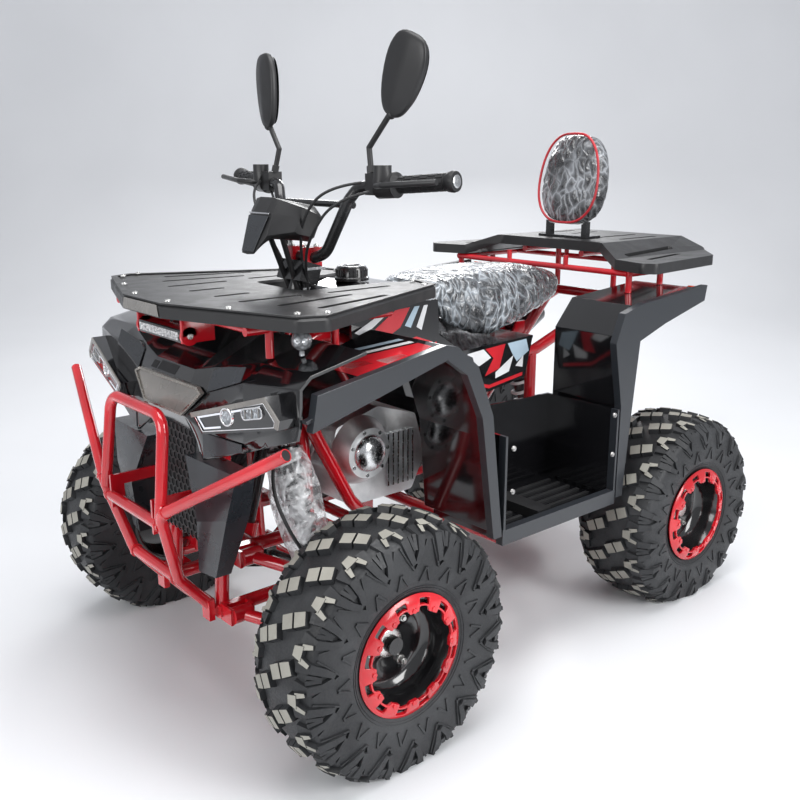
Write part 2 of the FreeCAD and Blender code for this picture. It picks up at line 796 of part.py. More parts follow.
def slot(points, width, low, high):
    """A long hole with round ends between two heights."""
    start, end = [V(p.x, p.y, low) for p in points]
    rise = Z_DIR * (high - low)
    along = (end - start).normalize()
    aside = Z_DIR.cross(along) * (width / 2)
    outline = [start + aside, start - aside, end - aside, end + aside]
    return plate(outline, width * 0.45, rise)


def rack_slots(shares, low, high):
    slots = []
    for slot_shares in shares:
        left = slot(plan(slot_shares, low), s.rack_slot_width, low, high)
        slots += both_sides(left)
    return slots


def make_front_rack():
    low = front_rack_z
    outline = plan_both(FRONT_RACK_SHARES, low)
    solid = plate(outline, s.rack_corner, Z_DIR * s.rack_thickness)
    top = [edge for edge in solid.Edges if edge.BoundBox.ZMin > low + s.rack_thickness * 0.9]
    solid = solid.makeChamfer(s.rack_bevel, top)
    holes = rack_slots(FRONT_SLOT_SHARES, low - s.overrun, low + s.rack_thickness + s.overrun)
    publish("front_rack", solid.cut(holes))


def rear_rack_level(x_share):
    """Height of the rear rack's underside, which steps up towards the middle."""
    outer, inner = REAR_SECTION_SHARES[1][0], REAR_SECTION_SHARES[2][0]
    rise_share = min(max((outer - abs(x_share)) / (outer - inner), 0), 1)
    return rear_rack_z + rise_share * s.rear_rack_rise


def make_rear_rack():
    low = rear_rack_z
    top = low + s.rear_rack_rise + s.rack_thickness
    half_section = [V(x * s.half_width, 0, low + z * s.rear_rack_rise) for x, z in REAR_SECTION_SHARES]
    line = half_section + [across(point) for point in reversed(half_section)]
    section = strip(line, s.rack_thickness, Y_DIR)
    wave = plate(section, 0, Y_DIR * s.wheelbase)
    outline = plan_both(REAR_RACK_SHARES, low - s.overrun)
    column = plate(outline, s.rack_corner, Z_DIR * (top - low + 2 * s.overrun))
    holes = rack_slots(REAR_SLOT_SHARES, low - s.overrun, top + s.overrun)
    publish("rear_rack", wave.common(column).cut(holes))


FRONT_CARRIER_SHARES = [(0.62, -0.660), (0.62, -0.330)]
FRONT_POST_SHARES = [(0.62, -0.610), (0.62, -0.465)]


def front_rack_mount():
    """The red tubes and posts under the front rack, and the brackets of its light bar."""
    level = front_rack_z - s.rack_tube / 2 - s.running_gap
    start, end = plan(FRONT_CARRIER_SHARES, level)
    pieces = both_sides(cylinder(start, end, s.rack_tube))
    for post, line in zip(FRONT_POST_SHARES, (COWL_SHARES[0.62], FRONT_ROOF_SHARES)):
        head, = plan([post], level)
        foot = V(head.x, head.y, post_foot(line, head.y, s.rack_tube))
        pieces.append(cylinder(across(head), head, s.rack_tube * 0.9))
        pieces += both_sides(cylinder(foot, head, s.rack_tube * 0.95))
    bar_top = front_rack_z - s.running_gap
    half = s.light_bar_length / 2 + s.running_gap
    front = start.y
    bracket = box(
        V(half, front - s.light_bar_depth, bar_top - s.light_bar_height * 2),
        V(half + s.panel, front + s.rack_tube * 2, bar_top),
    )
    pieces += both_sides(bracket)
    tie = start + V(0, s.rack_tube, 0)
    pieces.append(cylinder(across(tie), tie, s.rack_tube * 0.9))
    stay = place(*RACK_STAY_SHARES)
    stay_foot = V(stay.x, stay.y, post_foot(FRAME_TOP_SHARES, stay.y, s.rack_tube * 0.8) + s.frame_tube / 2)
    stay_head = V(stay.x, FRONT_POST_SHARES[1][1] * s.wheelbase, level)
    pieces += both_sides(cylinder(stay_foot, stay_head, s.rack_tube * 0.8))
    return fused(pieces)


def light_bar():
    front = FRONT_CARRIER_SHARES[0][1] * s.wheelbase
    half = s.light_bar_length / 2
    top = front_rack_z - s.running_gap - s.light_bar_height
    low = V(-half, front - s.light_bar_depth, top - s.light_bar_height)
    bar = box(low, V(half, front, top))
    return bar.makeFillet(s.panel / 2, bar.Edges)


REAR_CARRIER_SHARES = [(0.235, 0.455), (0.235, 0.760)]
REAR_POST_SHARES = [(0.70, 0.530), (0.70, 0.400)]
REAR_CENTRE_POST_SHARES = (0.235, 0.600, 0.870)
REAR_RAIL_SHARES = [(0.70, 0.390), (0.70, 0.640)]


def rear_rack_mount():
    centre_level = rear_rack_z + s.rear_rack_rise - s.rack_tube / 2 - s.running_gap
    wing_level = rear_rack_z - s.rack_tube / 2 - s.running_gap
    start, end = plan(REAR_CARRIER_SHARES, centre_level)
    pieces = both_sides(cylinder(start, end, s.rack_tube))
    rail_start, rail_end = plan(REAR_RAIL_SHARES, wing_level)
    pieces += both_sides(cylinder(rail_start, rail_end, s.rack_tube))
    for outer in (rail_start + V(0, s.rack_tube / 4, 0), rail_end - V(0, s.rack_tube / 4, 0)):
        riser = V(start.x, outer.y, wing_level)
        pieces.append(cylinder(across(outer), outer, s.rack_tube * 0.9))
        pieces += both_sides(cylinder(riser, V(riser.x, riser.y, centre_level), s.rack_tube * 0.8))
    tail = place(*REAR_CENTRE_POST_SHARES)
    slope = tail - place(*REAR_CROSS_SHARE)
    tube_top = s.frame_tube / 2 * slope.y / math.hypot(slope.y, slope.z)
    centre_foot = tail + Z_DIR * (tube_top + s.running_gap)
    centre_head = V(centre_foot.x, centre_foot.y, centre_level)
    pieces += both_sides(cylinder(centre_foot, centre_head, s.rack_tube * 0.95))
    for post in REAR_POST_SHARES:
        head, = plan([post], wing_level)
        foot = V(head.x, head.y, post_foot(REAR_FENDER_SHARES[1:], head.y, s.rack_tube))
        pieces += both_sides(cylinder(foot, head, s.rack_tube * 0.95))
    return fused(pieces)


def make_rack_mounts():
    """The red tubes and posts that carry each rack."""
    publish("rack_mounts", front_rack_mount(), rear_rack_mount())


# Front bodywork: the cowl is a faceted sheet through side view lines at several X.
COWL_SHARES = {
    0.0: [(-0.540, 0.920), (-0.664, 0.843), (-0.676, 0.815), (-0.693, 0.742), (-0.679, 0.704)],
    0.19: [(-0.540, 0.920), (-0.664, 0.843), (-0.676, 0.815), (-0.693, 0.742), (-0.679, 0.704)],
    0.33: [(-0.540, 0.922), (-0.656, 0.858), (-0.676, 0.803), (-0.688, 0.723), (-0.690, 0.655)],
    0.62: [(-0.520, 0.922), (-0.625, 0.885), (-0.668, 0.850), (-0.672, 0.723), (-0.662, 0.700)],
    0.954: [(-0.500, 0.915), (-0.620, 0.885), (-0.643, 0.862), (-0.645, 0.790), (-0.652, 0.760)],
}
STRAKE_SHARES = [
    [(0.196, -0.697, 0.654), (0.62, -0.690, 0.654), (0.62, -0.650, 0.654), (0.196, -0.650, 0.654)],
    [(0.34, -0.712, 0.520), (0.56, -0.700, 0.550), (0.56, -0.650, 0.550), (0.34, -0.650, 0.520)],
    [(0.31, -0.707, 0.395), (0.43, -0.698, 0.395), (0.43, -0.665, 0.395), (0.31, -0.665, 0.395)],
]


def cowl_section(x_share):
    x = x_share * s.half_width
    return strip(profile(COWL_SHARES[abs(x_share)], x), s.panel, X_DIR)


def make_cowl():
    stations = sorted(COWL_SHARES)
    left = [loft([cowl_section(a), cowl_section(b)]) for a, b in zip(stations, stations[1:])]
    whole = fused([solid for piece in left for solid in both_sides(piece)])
    publish("nose_cowl", whole.cut(headlight_solids()))


def strakes():
    sections = [places(section) for section in STRAKE_SHARES]
    return both_sides(loft(sections))


NOSE_PLATE_SHARES = [(0.285, 0.815), (0.33, 0.804), (0.183, 0.743)]
GRILLE_SHARES = [(0.195, 0.715), (0.195, 0.560), (0.30, 0.440)]
GRILLE_Y_SHARE = -0.673


def make_nose_plate():
    """The bright plate on the nose, which leans with the cowl behind it."""
    points = []
    for x_share, z_share in NOSE_PLATE_SHARES:
        lean = -0.676 - (0.815 - z_share) * (0.693 - 0.676) / (0.815 - 0.742)
        points.append(place(x_share, lean, z_share))
    outline = points + [across(point) for point in reversed(points)]
    thick = V(0, -s.panel, 0)
    offset = V(0, -s.running_gap, 0)
    solid = Part.Face(Part.makePolygon([p + offset for p in outline + outline[:1]])).extrude(thick)
    publish("nose_plate", solid)


def make_grille():
    points = [place(x, GRILLE_Y_SHARE, z) for x, z in GRILLE_SHARES]
    outline = points + [across(point) for point in reversed(points)]
    publish("grille", plate(outline, s.panel, V(0, s.panel, 0)), *strakes())


HEADLIGHT_SHARES = [(0.36, 0.772), (0.43, 0.730), (0.925, 0.785), (0.935, 0.805), (0.85, 0.846)]


def headlight_solids():
    """A lamp on each side, standing proud of the cowl."""
    points = []
    for x_share, z_share in HEADLIGHT_SHARES:
        sweep = -0.704 + (x_share - 0.33) * 0.062
        points.append(place(x_share, sweep, z_share))
    start = [p + V(0, -s.panel * 2, 0) for p in points]
    lamp = loft([start, [p + V(0, s.panel * 4, 0) for p in points]])
    return both_sides(lamp)


def make_headlights():
    """The two lamps in the nose and the light bar under the rack's lip."""
    publish("headlights", *headlight_solids(), light_bar())


# Side bodywork
FRONT_ROOF_SHARES = [(-0.640, 0.800), (-0.325, 0.905), (-0.250, 0.865), (-0.185, 0.660), (-0.168, 0.420)]
FRONT_BAND_SHARES = [
    (-0.632, 0.775), (-0.620, 0.850), (-0.325, 0.905), (-0.295, 0.897), (-0.240, 0.845), (-0.195, 0.720),
    (-0.160, 0.410), (-0.185, 0.410), (-0.225, 0.720), (-0.270, 0.830), (-0.322, 0.872),
]


def make_front_fender():
    """Roof over each front wheel with its raised outer band."""
    inner_x = s.half_width * 0.46
    line = profile(FRONT_ROOF_SHARES, inner_x)
    roof_outline = strip(line, -s.panel, X_DIR)
    roof = plate(roof_outline, 0, X_DIR * (s.half_width - inner_x - s.panel))
    band_outline = profile(FRONT_BAND_SHARES, s.half_width - 3 * s.panel)
    band = plate(band_outline, 0, X_DIR * (3 * s.panel))
    side = fused([roof, band])
    publish("front_fenders", *both_sides(side.cut(nodes["nose_cowl"].Shape)))


FOOTWELL_OUTLINE_SHARES = [(-0.150, 0.660), (-0.150, 0.401), (0.215, 0.401), (0.215, 0.650)]


def make_footwells():
    """A tray with a front wall, an inner wall, a floor and an outer sill."""
    inner_x = s.half_width * 0.50
    line = profile(FOOTWELL_OUTLINE_SHARES, inner_x)
    lift = V(0, 0, floor_level() + s.panel - line[1].z)
    line = [line[0], line[1] + lift, line[2] + lift, line[3]]
    outline = strip(line, -s.panel, X_DIR)
    tray = plate(outline, 0, X_DIR * (s.half_width - inner_x))
    wall = plate(outline[len(line):], 0, X_DIR * -s.panel)
    sill_low = V(s.half_width - s.panel * 3, -0.158 * s.wheelbase, 0.385 * s.deck_height)
    sill_high = V(s.half_width, 0.222 * s.wheelbase, 0.424 * s.deck_height)
    solid = fused([tray, wall, box(sill_low, sill_high)])
    for name, side in SIDES.items():
        publish(f"footwell_{name}", on_side(solid, side))


def make_foot_pegs():
    low = place(0.62, -0.020, 0)
    low = V(low.x, low.y, floor_level() + s.panel + s.running_gap)
    peg = box(low, low + V(s.half_width * 0.32, s.step_bar_tube * 1.6, s.step_bar_tube * 0.8))
    publish("foot_pegs", *both_sides(peg))


REAR_FENDER_SHARES = [
    (0.232, 0.400), (0.232, 0.840), (0.290, 0.915), (0.545, 0.938), (0.552, 0.915),
]
REAR_BAND_SHARES = [
    (0.226, 0.400), (0.226, 0.660), (0.195, 0.830), (0.222, 0.905), (0.290, 0.925), (0.548, 0.948), (0.540, 0.905),
    (0.380, 0.860), (0.285, 0.825), (0.262, 0.560), (0.250, 0.400),
]


def make_rear_fenders():
    inner_x = s.half_width * 0.50
    line = profile(REAR_FENDER_SHARES, inner_x)
    roof = plate(strip(line, -s.panel, X_DIR), 0, X_DIR * (s.half_width - inner_x - s.panel))
    band = plate(profile(REAR_BAND_SHARES, s.half_width - 3 * s.panel), 0, X_DIR * (3 * s.panel))
    publish("rear_fenders", *both_sides(fused([roof, band])))


TANK_ROOF_SHARES = [
    (-0.362, 0.945), (-0.330, 0.952), (-0.125, 0.952), (-0.120, 0.860), (-0.050, 0.8065), (0.190, 0.8155),
]
TANK_SKIRT_SHARES = [(0.165, 0.700), (0.040, 0.680), (-0.150, 0.690), (-0.362, 0.780)]
TANK_HUMP_SHARES = [(-0.300, 0.940), (-0.285, 0.975), (-0.240, 0.990), (-0.150, 0.985), (-0.128, 0.940)]


def make_tank_cover():
    """A saddle over the frame: a bent roof with a side skirt at each edge and a filler hump."""
    half = s.half_width * 0.42
    roof_line = profile(TANK_ROOF_SHARES, half)
    roof = plate(strip(roof_line, -s.panel, X_DIR), 0, X_DIR * (-2 * half))
    skirt = plate(roof_line + profile(TANK_SKIRT_SHARES, half), 0, X_DIR * -s.panel)
    hump_half = s.half_width * 0.17
    hump = plate(profile(TANK_HUMP_SHARES, -hump_half), s.panel, X_DIR * (2 * hump_half))
    publish("tank_cover", fused([roof, hump] + both_sides(skirt)))


SEAT_SHARES = [
    (-0.115, 0.970), (0.080, 1.000), (0.260, 0.997), (0.415, 0.950), (0.415, 0.912), (0.330, 0.885),
    (0.200, 0.835), (0.080, 0.812), (-0.020, 0.835), (-0.090, 0.915),
]


def make_seat():
    half = s.seat_half_width
    solid = plate(profile(SEAT_SHARES, -half), s.seat_round, X_DIR * (2 * half))
    publish("seat", solid)


BACKREST_FOOT_SHARES = (0.0, 0.484, 1.098)


def make_backrest():
    """An oval cushion that leans back, and the posts that carry it from the rack."""
    foot = place(*BACKREST_FOOT_SHARES)
    half = s.backrest_width / 2
    outline = [
        V(half * 0.62, 0, 0), V(half * 0.95, 0, s.backrest_height * 0.22),
        V(half, 0, s.backrest_height * 0.55), V(half * 0.70, 0, s.backrest_height),
    ]
    outline += [V(-p.x, 0, p.z) for p in reversed(outline)]
    cushion = plate(outline, s.backrest_width * 0.22, Y_DIR * s.backrest_depth)
    cushion = cushion.translated(foot)
    cushion.rotate(foot, X_DIR, -s.backrest_lean)
    publish("backrest", cushion)
    post_top = foot.z - s.running_gap
    base = rear_rack_level(0) + s.rack_thickness + s.running_gap
    posts = []
    for share in (-0.30, 0.30):
        x = share * half * 2
        low = V(x - s.rack_tube / 2, foot.y + s.backrest_depth * 0.3, base)
        posts.append(box(low, V(x + s.rack_tube / 2, low.y + s.rack_tube, post_top + s.rack_tube * 0.4)))
    foot_plate = box(
        V(-half * 0.8, foot.y + s.backrest_depth * 0.1, base),
        V(half * 0.8, foot.y + s.backrest_depth * 0.9, base + s.panel),
    )
    publish("backrest_bracket", fused(posts + [foot_plate]).cut(cushion))


# Engine, exhaust and drive
CRANKCASE_SHARES = [
    (-0.375, 0.540), (-0.355, 0.645), (-0.240, 0.680), (-0.130, 0.640), (-0.100, 0.520), (-0.140, 0.430),
    (-0.320, 0.430),
]
COVER_SHARES = (-0.292, 0.576)
CYLINDER_SHARES = [(0.0, -0.365, 0.590), (0.0, -0.500, 0.640)]


def make_engine():
    half = s.crankcase_width / 2
    case = plate(profile(CRANKCASE_SHARES, -half), s.panel * 2, X_DIR * s.crankcase_width)
    y_share, z_share = COVER_SHARES
    centre = V(half, y_share * s.wheelbase, z_share * s.deck_height)
    cover = cone(centre - X_DIR * s.running_gap, centre + X_DIR * s.cover_depth, s.cover_dia, s.cover_dia * 0.72)
    start, end = places(CYLINDER_SHARES)
    along = (end - start).normalize()
    start = start - along * s.overrun
    end = start + along * (s.cylinder_length + s.overrun)
    barrel = cylinder(start, end, s.cylinder_dia * 0.8)
    pieces = [case, cover, barrel]
    for i in range(int(s.fin_count)):
        foot = start + along * (s.overrun + s.cylinder_length * (i + 0.5) / s.fin_count)
        pieces.append(cylinder(foot, foot + along * s.fin_thickness, s.cylinder_dia))
    publish("engine", fused(pieces))


EXHAUST_SHARES = [
    (-0.07, -0.400, 0.560), (-0.07, -0.405, 0.411), (-0.12, -0.200, 0.411), (-0.14, 0.030, 0.411),
    (-0.42, 0.150, 0.430), (-0.42, 0.250, 0.580), (-0.42, 0.310, 0.620),
]


def make_exhaust():
    points = places(EXHAUST_SHARES)
    pipe = tube(points, s.pipe_dia, s.pipe_dia * 1.5)
    end = points[-1]
    along = (points[-1] - points[-2]).normalize()
    muffler = cylinder(end - along * s.overrun, end + along * s.muffler_length, s.muffler_dia)
    publish("exhaust", fused([pipe, muffler]).cut(nodes["engine"].Shape))


SWINGARM_PIVOT_SHARES = (0.0, 0.262, 0.349)


def make_swingarm():
    pivot = place(*SWINGARM_PIVOT_SHARES)
    half = s.swingarm_half_width
    axle = V(0, rear_hub.y, rear_hub.z)
    housing_half = s.axle_housing_length / 2
    pieces = []
    for side in SIDES.values():
        start = V(side * half * 0.75, pivot.y, pivot.z)
        end = V(side * half * 0.75, axle.y, axle.z)
        pieces.append(cylinder(start, end, s.swingarm_tube))
    pieces.append(cylinder(V(-half, pivot.y, pivot.z), V(half, pivot.y, pivot.z), s.swingarm_tube))
    pieces.append(cylinder(V(-housing_half, axle.y, axle.z), V(housing_half, axle.y, axle.z), s.axle_housing_dia))
    foot = place(*REAR_SHOCK_SHARES[1])
    brace_z = pivot.z + (axle.z - pivot.z) * (foot.y - pivot.y) / (axle.y - pivot.y)
    side_x = half * 0.75
    pieces.append(cylinder(V(-side_x, foot.y, brace_z), V(side_x, foot.y, brace_z), s.swingarm_tube * 0.8))
    inner = s.shock_body_dia / 2 + s.running_gap
    eye_radius = s.shock_body_dia * 0.4
    ear = box(V(inner, foot.y - eye_radius, brace_z), V(inner + s.panel, foot.y + eye_radius, foot.z + eye_radius))
    pieces += both_sides(ear)
    bore_radius = s.axle_dia / 2 + s.running_gap
    bore = Part.makeCylinder(bore_radius, s.axle_housing_length + 2 * s.overrun,
                             V(-housing_half - s.overrun, axle.y, axle.z), X_DIR)
    publish("swingarm", fused(pieces).cut(bore))


def make_rear_shock():
    top, foot = places(REAR_SHOCK_SHARES)
    publish("rear_shock", shock(top, foot, s.shock_body_dia, X_DIR))


def cowl_level(x, y, dia):
    """Where an upright stalk of this diameter stands clear of the cowl's top."""
    x_share = x / s.half_width
    stations = sorted(COWL_SHARES)
    inner = max(station for station in stations if station <= x_share)
    outer = min(station for station in stations if station >= x_share)
    blend = (x_share - inner) / (outer - inner)
    low, high = (post_foot(COWL_SHARES[station], y, dia) for station in (inner, outer))
    return low + (high - low) * blend


# Lamps
TAIL_LAMP_SHARES = (0.90, 0.925)
FRONT_SIGNAL_SHARES = (0.74, -0.575, 0.934)
REAR_SIGNAL_SHARES = (0.80, 0.572, 0.875)


def make_lamps():
    size = V(s.panel * 6, s.panel * 2, s.panel * 4)
    x_share, z_share = TAIL_LAMP_SHARES
    rear_edge = REAR_FENDER_SHARES[-1][0] * s.wheelbase + s.running_gap
    centre = V(x_share * s.half_width, rear_edge + size.y / 2, z_share * s.deck_height)
    tail = box(centre - size * 0.5, centre + size * 0.5)
    publish("tail_lamps", *both_sides(tail.makeFillet(s.panel * 0.5, tail.Edges)))
    front, rear = place(*FRONT_SIGNAL_SHARES), place(*REAR_SIGNAL_SHARES)
    stalk = s.panel * 1.5
    front_foot = V(front.x, front.y, cowl_level(front.x, front.y, stalk))
    rear_foot = V(rear.x, rear_edge + stalk / 2, rear.z)
    rear_head = V(rear.x, rear_foot.y, REAR_FENDER_SHARES[-1][1] * s.deck_height + stalk)
    signals = both_sides(fused([Part.makeSphere(s.panel * 3, front), cylinder(front_foot, front, stalk)]))
    signals += both_sides(fused([Part.makeSphere(s.panel * 3, rear), cylinder(rear_foot, rear_head, stalk)]))
    publish("turn_signals", *signals)


# Steering
def column_reach():
    """How far the column goes down its axis, so that its studs end under the tie rods."""
    root_z = tie_rod_pivot().z - s.pitman_stud_clearance - s.pitman_stud_length
    foot_z = root_z + (s.pitman_length - s.tie_rod_eye / 2) * math.sin(rake)
    return (steer_top.z - foot_z) / math.cos(rake)


def make_steering_column():
    foot = on_column(column_reach())
    shaft = cylinder(foot, steer_top, s.column_dia)
    ahead = steer_axis.cross(X_DIR)
    half = s.pitman_spread + s.tie_rod_eye / 2
    start = foot - ahead * (s.column_dia / 2)
    end = foot + ahead * s.pitman_length
    corners = [start + X_DIR * half, start - X_DIR * half, end - X_DIR * half, end + X_DIR * half]
    pitman = plate(corners, s.panel, steer_axis * s.steer_arm_thickness)
    stud_top = tie_rod_pivot().z - s.pitman_stud_clearance
    studs = []
    for side in SIDES.values():
        root = foot + ahead * (s.pitman_length - s.tie_rod_eye / 2) + X_DIR * side * s.pitman_spread
        studs.append(cylinder(root, V(root.x, root.y, stud_top), s.pitman_stud_dia))
    clamp_half = s.handlebar_tube * 1.8
    bar_low = place(*HANDLEBAR_SHARES[0])
    clamp_top = (bar_low - steer_top).dot(steer_axis) - s.handlebar_tube / 2 - s.running_gap
    clamp = box(V(-clamp_half, -s.handlebar_tube, -s.handlebar_tube), V(clamp_half, s.handlebar_tube, clamp_top))
    clamp.rotate(ORIGIN, X_DIR, -s.steer_rake)
    clamp.translate(steer_top)
    publish("steering_column", fused([shaft, pitman, clamp] + studs))


HANDLEBAR_SHARES = [
    (0.10, -0.352, 1.060), (0.17, -0.345, 1.075), (0.30, -0.326, 1.200), (0.345, -0.3155, 1.2295),
    (0.895, -0.272, 1.246),
]
BAR_CROSS_SHARES = (0.31, -0.318, 1.188)


def grip_line():
    inner, outer = places(HANDLEBAR_SHARES[-2:])
    along = (outer - inner).normalize()
    return outer, along


def make_handlebar():
    half = places(HANDLEBAR_SHARES)
    line = [across(point) for point in reversed(half)] + half
    bar = tube(line, s.handlebar_tube, s.handlebar_bend)
    cross = place(*BAR_CROSS_SHARES)
    brace = cylinder(across(cross), cross, s.handlebar_tube * 0.6)
    publish("handlebar", fused([bar, brace]))


def make_grips():
    outer, along = grip_line()
    inner = outer - along * s.grip_length
    bore = s.handlebar_tube + 2 * s.running_gap
    pieces = [
        cylinder(inner, outer, s.grip_dia),
        cylinder(inner, inner + along * s.grip_flange, s.grip_flange_dia),
        cylinder(outer, outer + along * s.grip_flange * 2, s.grip_end_dia),
    ]
    sleeve = fused(pieces).cut(cylinder(inner - along * s.grip_flange, outer + along * s.running_gap, bore))
    publish("grips", *both_sides(sleeve))


def perch_top():
    """Height of the blocks on the bar that carry the mirrors."""
    return place(*MIRROR_FOOT_SHARES[0]).z - s.stem_lean


def make_controls():
    """On each side a switch box, a brake cylinder and a lever, clamped on the bar."""
    outer, along = grip_line()
    seat = outer - along * (s.grip_length + s.running_gap)
    ahead = along.cross(Z_DIR).normalize()
    bore = s.handlebar_tube + 2 * s.running_gap
    start = seat - along * s.grip_flange_dia * 0.85
    house = cylinder(start, seat, s.grip_flange_dia)
    reservoir_low = start + ahead * s.grip_dia * 0.4 + along * s.grip_dia * 0.55
    pot = cylinder(reservoir_low, reservoir_low + Z_DIR * s.grip_dia * 1.2, s.grip_dia * 1.1)
    lever_root = seat - along * s.grip_flange_dia * 0.5 + ahead * s.grip_flange_dia * 0.7
    lever_bend = lever_root + along * s.grip_dia + ahead * s.grip_dia * 0.6
    lever_tip = lever_bend + along * s.grip_length * 0.92 - ahead * s.grip_dia * 0.2
    lever = tube([seat - along * s.grip_flange_dia * 0.5, lever_root, lever_bend, lever_tip], s.mirror_stem, s.mirror_stem)
    perch_start = start - along * s.perch_length
    perch_low = V(perch_start.x, start.y - s.perch_depth / 2, start.z - s.perch_depth / 2)
    perch_high = V(start.x + s.perch_overlap, start.y + s.perch_depth / 2, perch_top())
    perch = box(perch_low, perch_high)
    bore_start, bore_end = perch_start - along * s.perch_length * 0.5, seat + along * s.grip_flange
    solid = fused([house, pot, lever, perch]).cut(cylinder(bore_start, bore_end, bore))
    publish("controls", *both_sides(solid))


POD_SHARES = {
    0.0: [(-0.352, 1.186), (-0.440, 1.206), (-0.458, 1.172), (-0.492, 1.076), (-0.455, 1.110), (-0.366, 1.100)],
    0.055: [(-0.352, 1.186), (-0.440, 1.206), (-0.458, 1.172), (-0.490, 1.078), (-0.455, 1.112), (-0.366, 1.100)],
    0.10: [(-0.352, 1.184), (-0.438, 1.202), (-0.454, 1.170), (-0.470, 1.120), (-0.440, 1.116), (-0.370, 1.100)],
    0.16: [(-0.352, 1.160), (-0.395, 1.182), (-0.405, 1.160), (-0.418, 1.128), (-0.410, 1.122), (-0.372, 1.112)],
}


def make_pod():
    """The faceted lamp housing in front of the handlebar, and the two struts that carry it."""
    stations = sorted(POD_SHARES)
    sections = [profile(POD_SHARES[x], x * s.half_width) for x in stations]
    left = [loft([a, b]) for a, b in zip(sections, sections[1:])]
    pod = fused([solid for piece in left for solid in both_sides(piece)])
    struts = []
    for side in SIDES.values():
        top = place(side * 0.06, -0.430, 1.140)
        foot = on_column(s.handlebar_tube * 2) + X_DIR * side * s.column_dia * 0.45
        struts.append(cylinder(foot, top, s.mirror_stem))
    publish("lamp_pod", fused([pod] + struts).cut(nodes["steering_column"].Shape))


MIRROR_FOOT_SHARES = [(0.415, -0.306, 1.262), (0.385, -0.301, 1.318)]
MIRROR_HEAD_SHARES = {"left": (0.545, -0.301, 1.385), "right": (0.482, -0.301, 1.372)}
MIRROR_TILT = {"left": 25, "right": 3}
MIRROR_TURN = {"left": 8, "right": 12}


def make_mirrors():
    """An oval mirror on each side, on a bent stem. Each is turned its own way."""
    high = s.mirror_height / 2
    wide = s.mirror_width / 2
    outline = [
        V(-wide * 0.70, 0, -high), V(wide * 0.70, 0, -high), V(wide, 0, high * 0.25),
        V(wide * 0.80, 0, high), V(-wide * 0.80, 0, high), V(-wide, 0, high * 0.25),
    ]
    shell = plate(outline, s.mirror_width * 0.26, Y_DIR * s.mirror_depth)
    shell = shell.makeFillet(s.mirror_depth * 0.25, [e for e in shell.Edges if e.BoundBox.YMax < s.panel])
    shell.translate(V(0, -s.mirror_depth / 2, high * 0.92))
    mirrors = []
    for name, side in SIDES.items():
        head = place(*MIRROR_HEAD_SHARES[name])
        stem = tube(places(MIRROR_FOOT_SHARES) + [head], s.mirror_stem, s.mirror_stem * 2)
        turned = shell.copy()
        turned.rotate(ORIGIN, Z_DIR, MIRROR_TURN[name])
        turned.rotate(ORIGIN, Y_DIR, MIRROR_TILT[name])
        turned.translate(head)
        mirrors.append(on_side(fused([stem, turned]), side))
    publish("mirrors", *mirrors)


def make_tie_rods():
    """From each steering arm to the foot of the column, where the linkage is left open."""
    outer = tie_rod_pivot()
    foot = on_column(column_reach())
    ahead = steer_axis.cross(X_DIR)
    inner = foot + ahead * (s.pitman_length - s.tie_rod_eye / 2) + X_DIR * s.pitman_spread
    inner = V(inner.x, inner.y, outer.z)
    eye = Z_DIR * (s.tie_rod_dia / 2)
    pieces = [
        cylinder(outer, inner, s.tie_rod_dia),
        cylinder(outer - eye, outer + eye, s.tie_rod_eye),
        cylinder(inner - eye, inner + eye, s.tie_rod_eye),
    ]
    rod = fused(pieces).translated(Z_DIR * (s.tie_rod_dia / 2))
    for name, side in SIDES.items():
        publish(f"tie_rod_{name}", on_side(rod, side))


def report_faults():
    """Stop if a feature failed or a sub-part has no valid solid."""
    doc.recompute()
    for feature in doc.Objects:
        if "Invalid" in feature.State or "Error" in feature.State:
            raise RuntimeError(f"{feature.Name} failed")
    for node, feature in nodes.items():
        shape = feature.Shape
        if shape.isNull() or not shape.isValid() or not shape.Solids:
            raise RuntimeError(f"{node} has no valid solid")


def export():
    os.makedirs("parts", exist_ok=True)
    for node, feature in nodes.items():
        feature.Shape.exportStep(f"parts/{node}.step")


def main():
    make_frame()
    make_front_wheels()
    make_rear_wheels()
    make_rear_axle()
    make_knuckles()
    make_front_arms()
    make_front_shocks()
    make_bumper()
    make_front_rack()
    make_rear_rack()
    make_cowl()
    make_nose_plate()
    make_grille()
    make_headlights()
    make_front_fender()
    make_footwells()
    make_foot_pegs()
    make_rear_fenders()
    make_rack_mounts()
    make_tank_cover()
    make_seat()
    make_backrest()
    make_engine()
    make_exhaust()
    make_swingarm()
    make_rear_shock()
    make_lamps()
    make_steering_column()
    make_handlebar()
    make_grips()
    make_controls()
    make_pod()
    make_mirrors()
    make_tie_rods()
    report_faults()
    export()


main()
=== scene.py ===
import math

import bmesh
import bpy
from mathutils import Matrix, Quaternion, Vector, noise


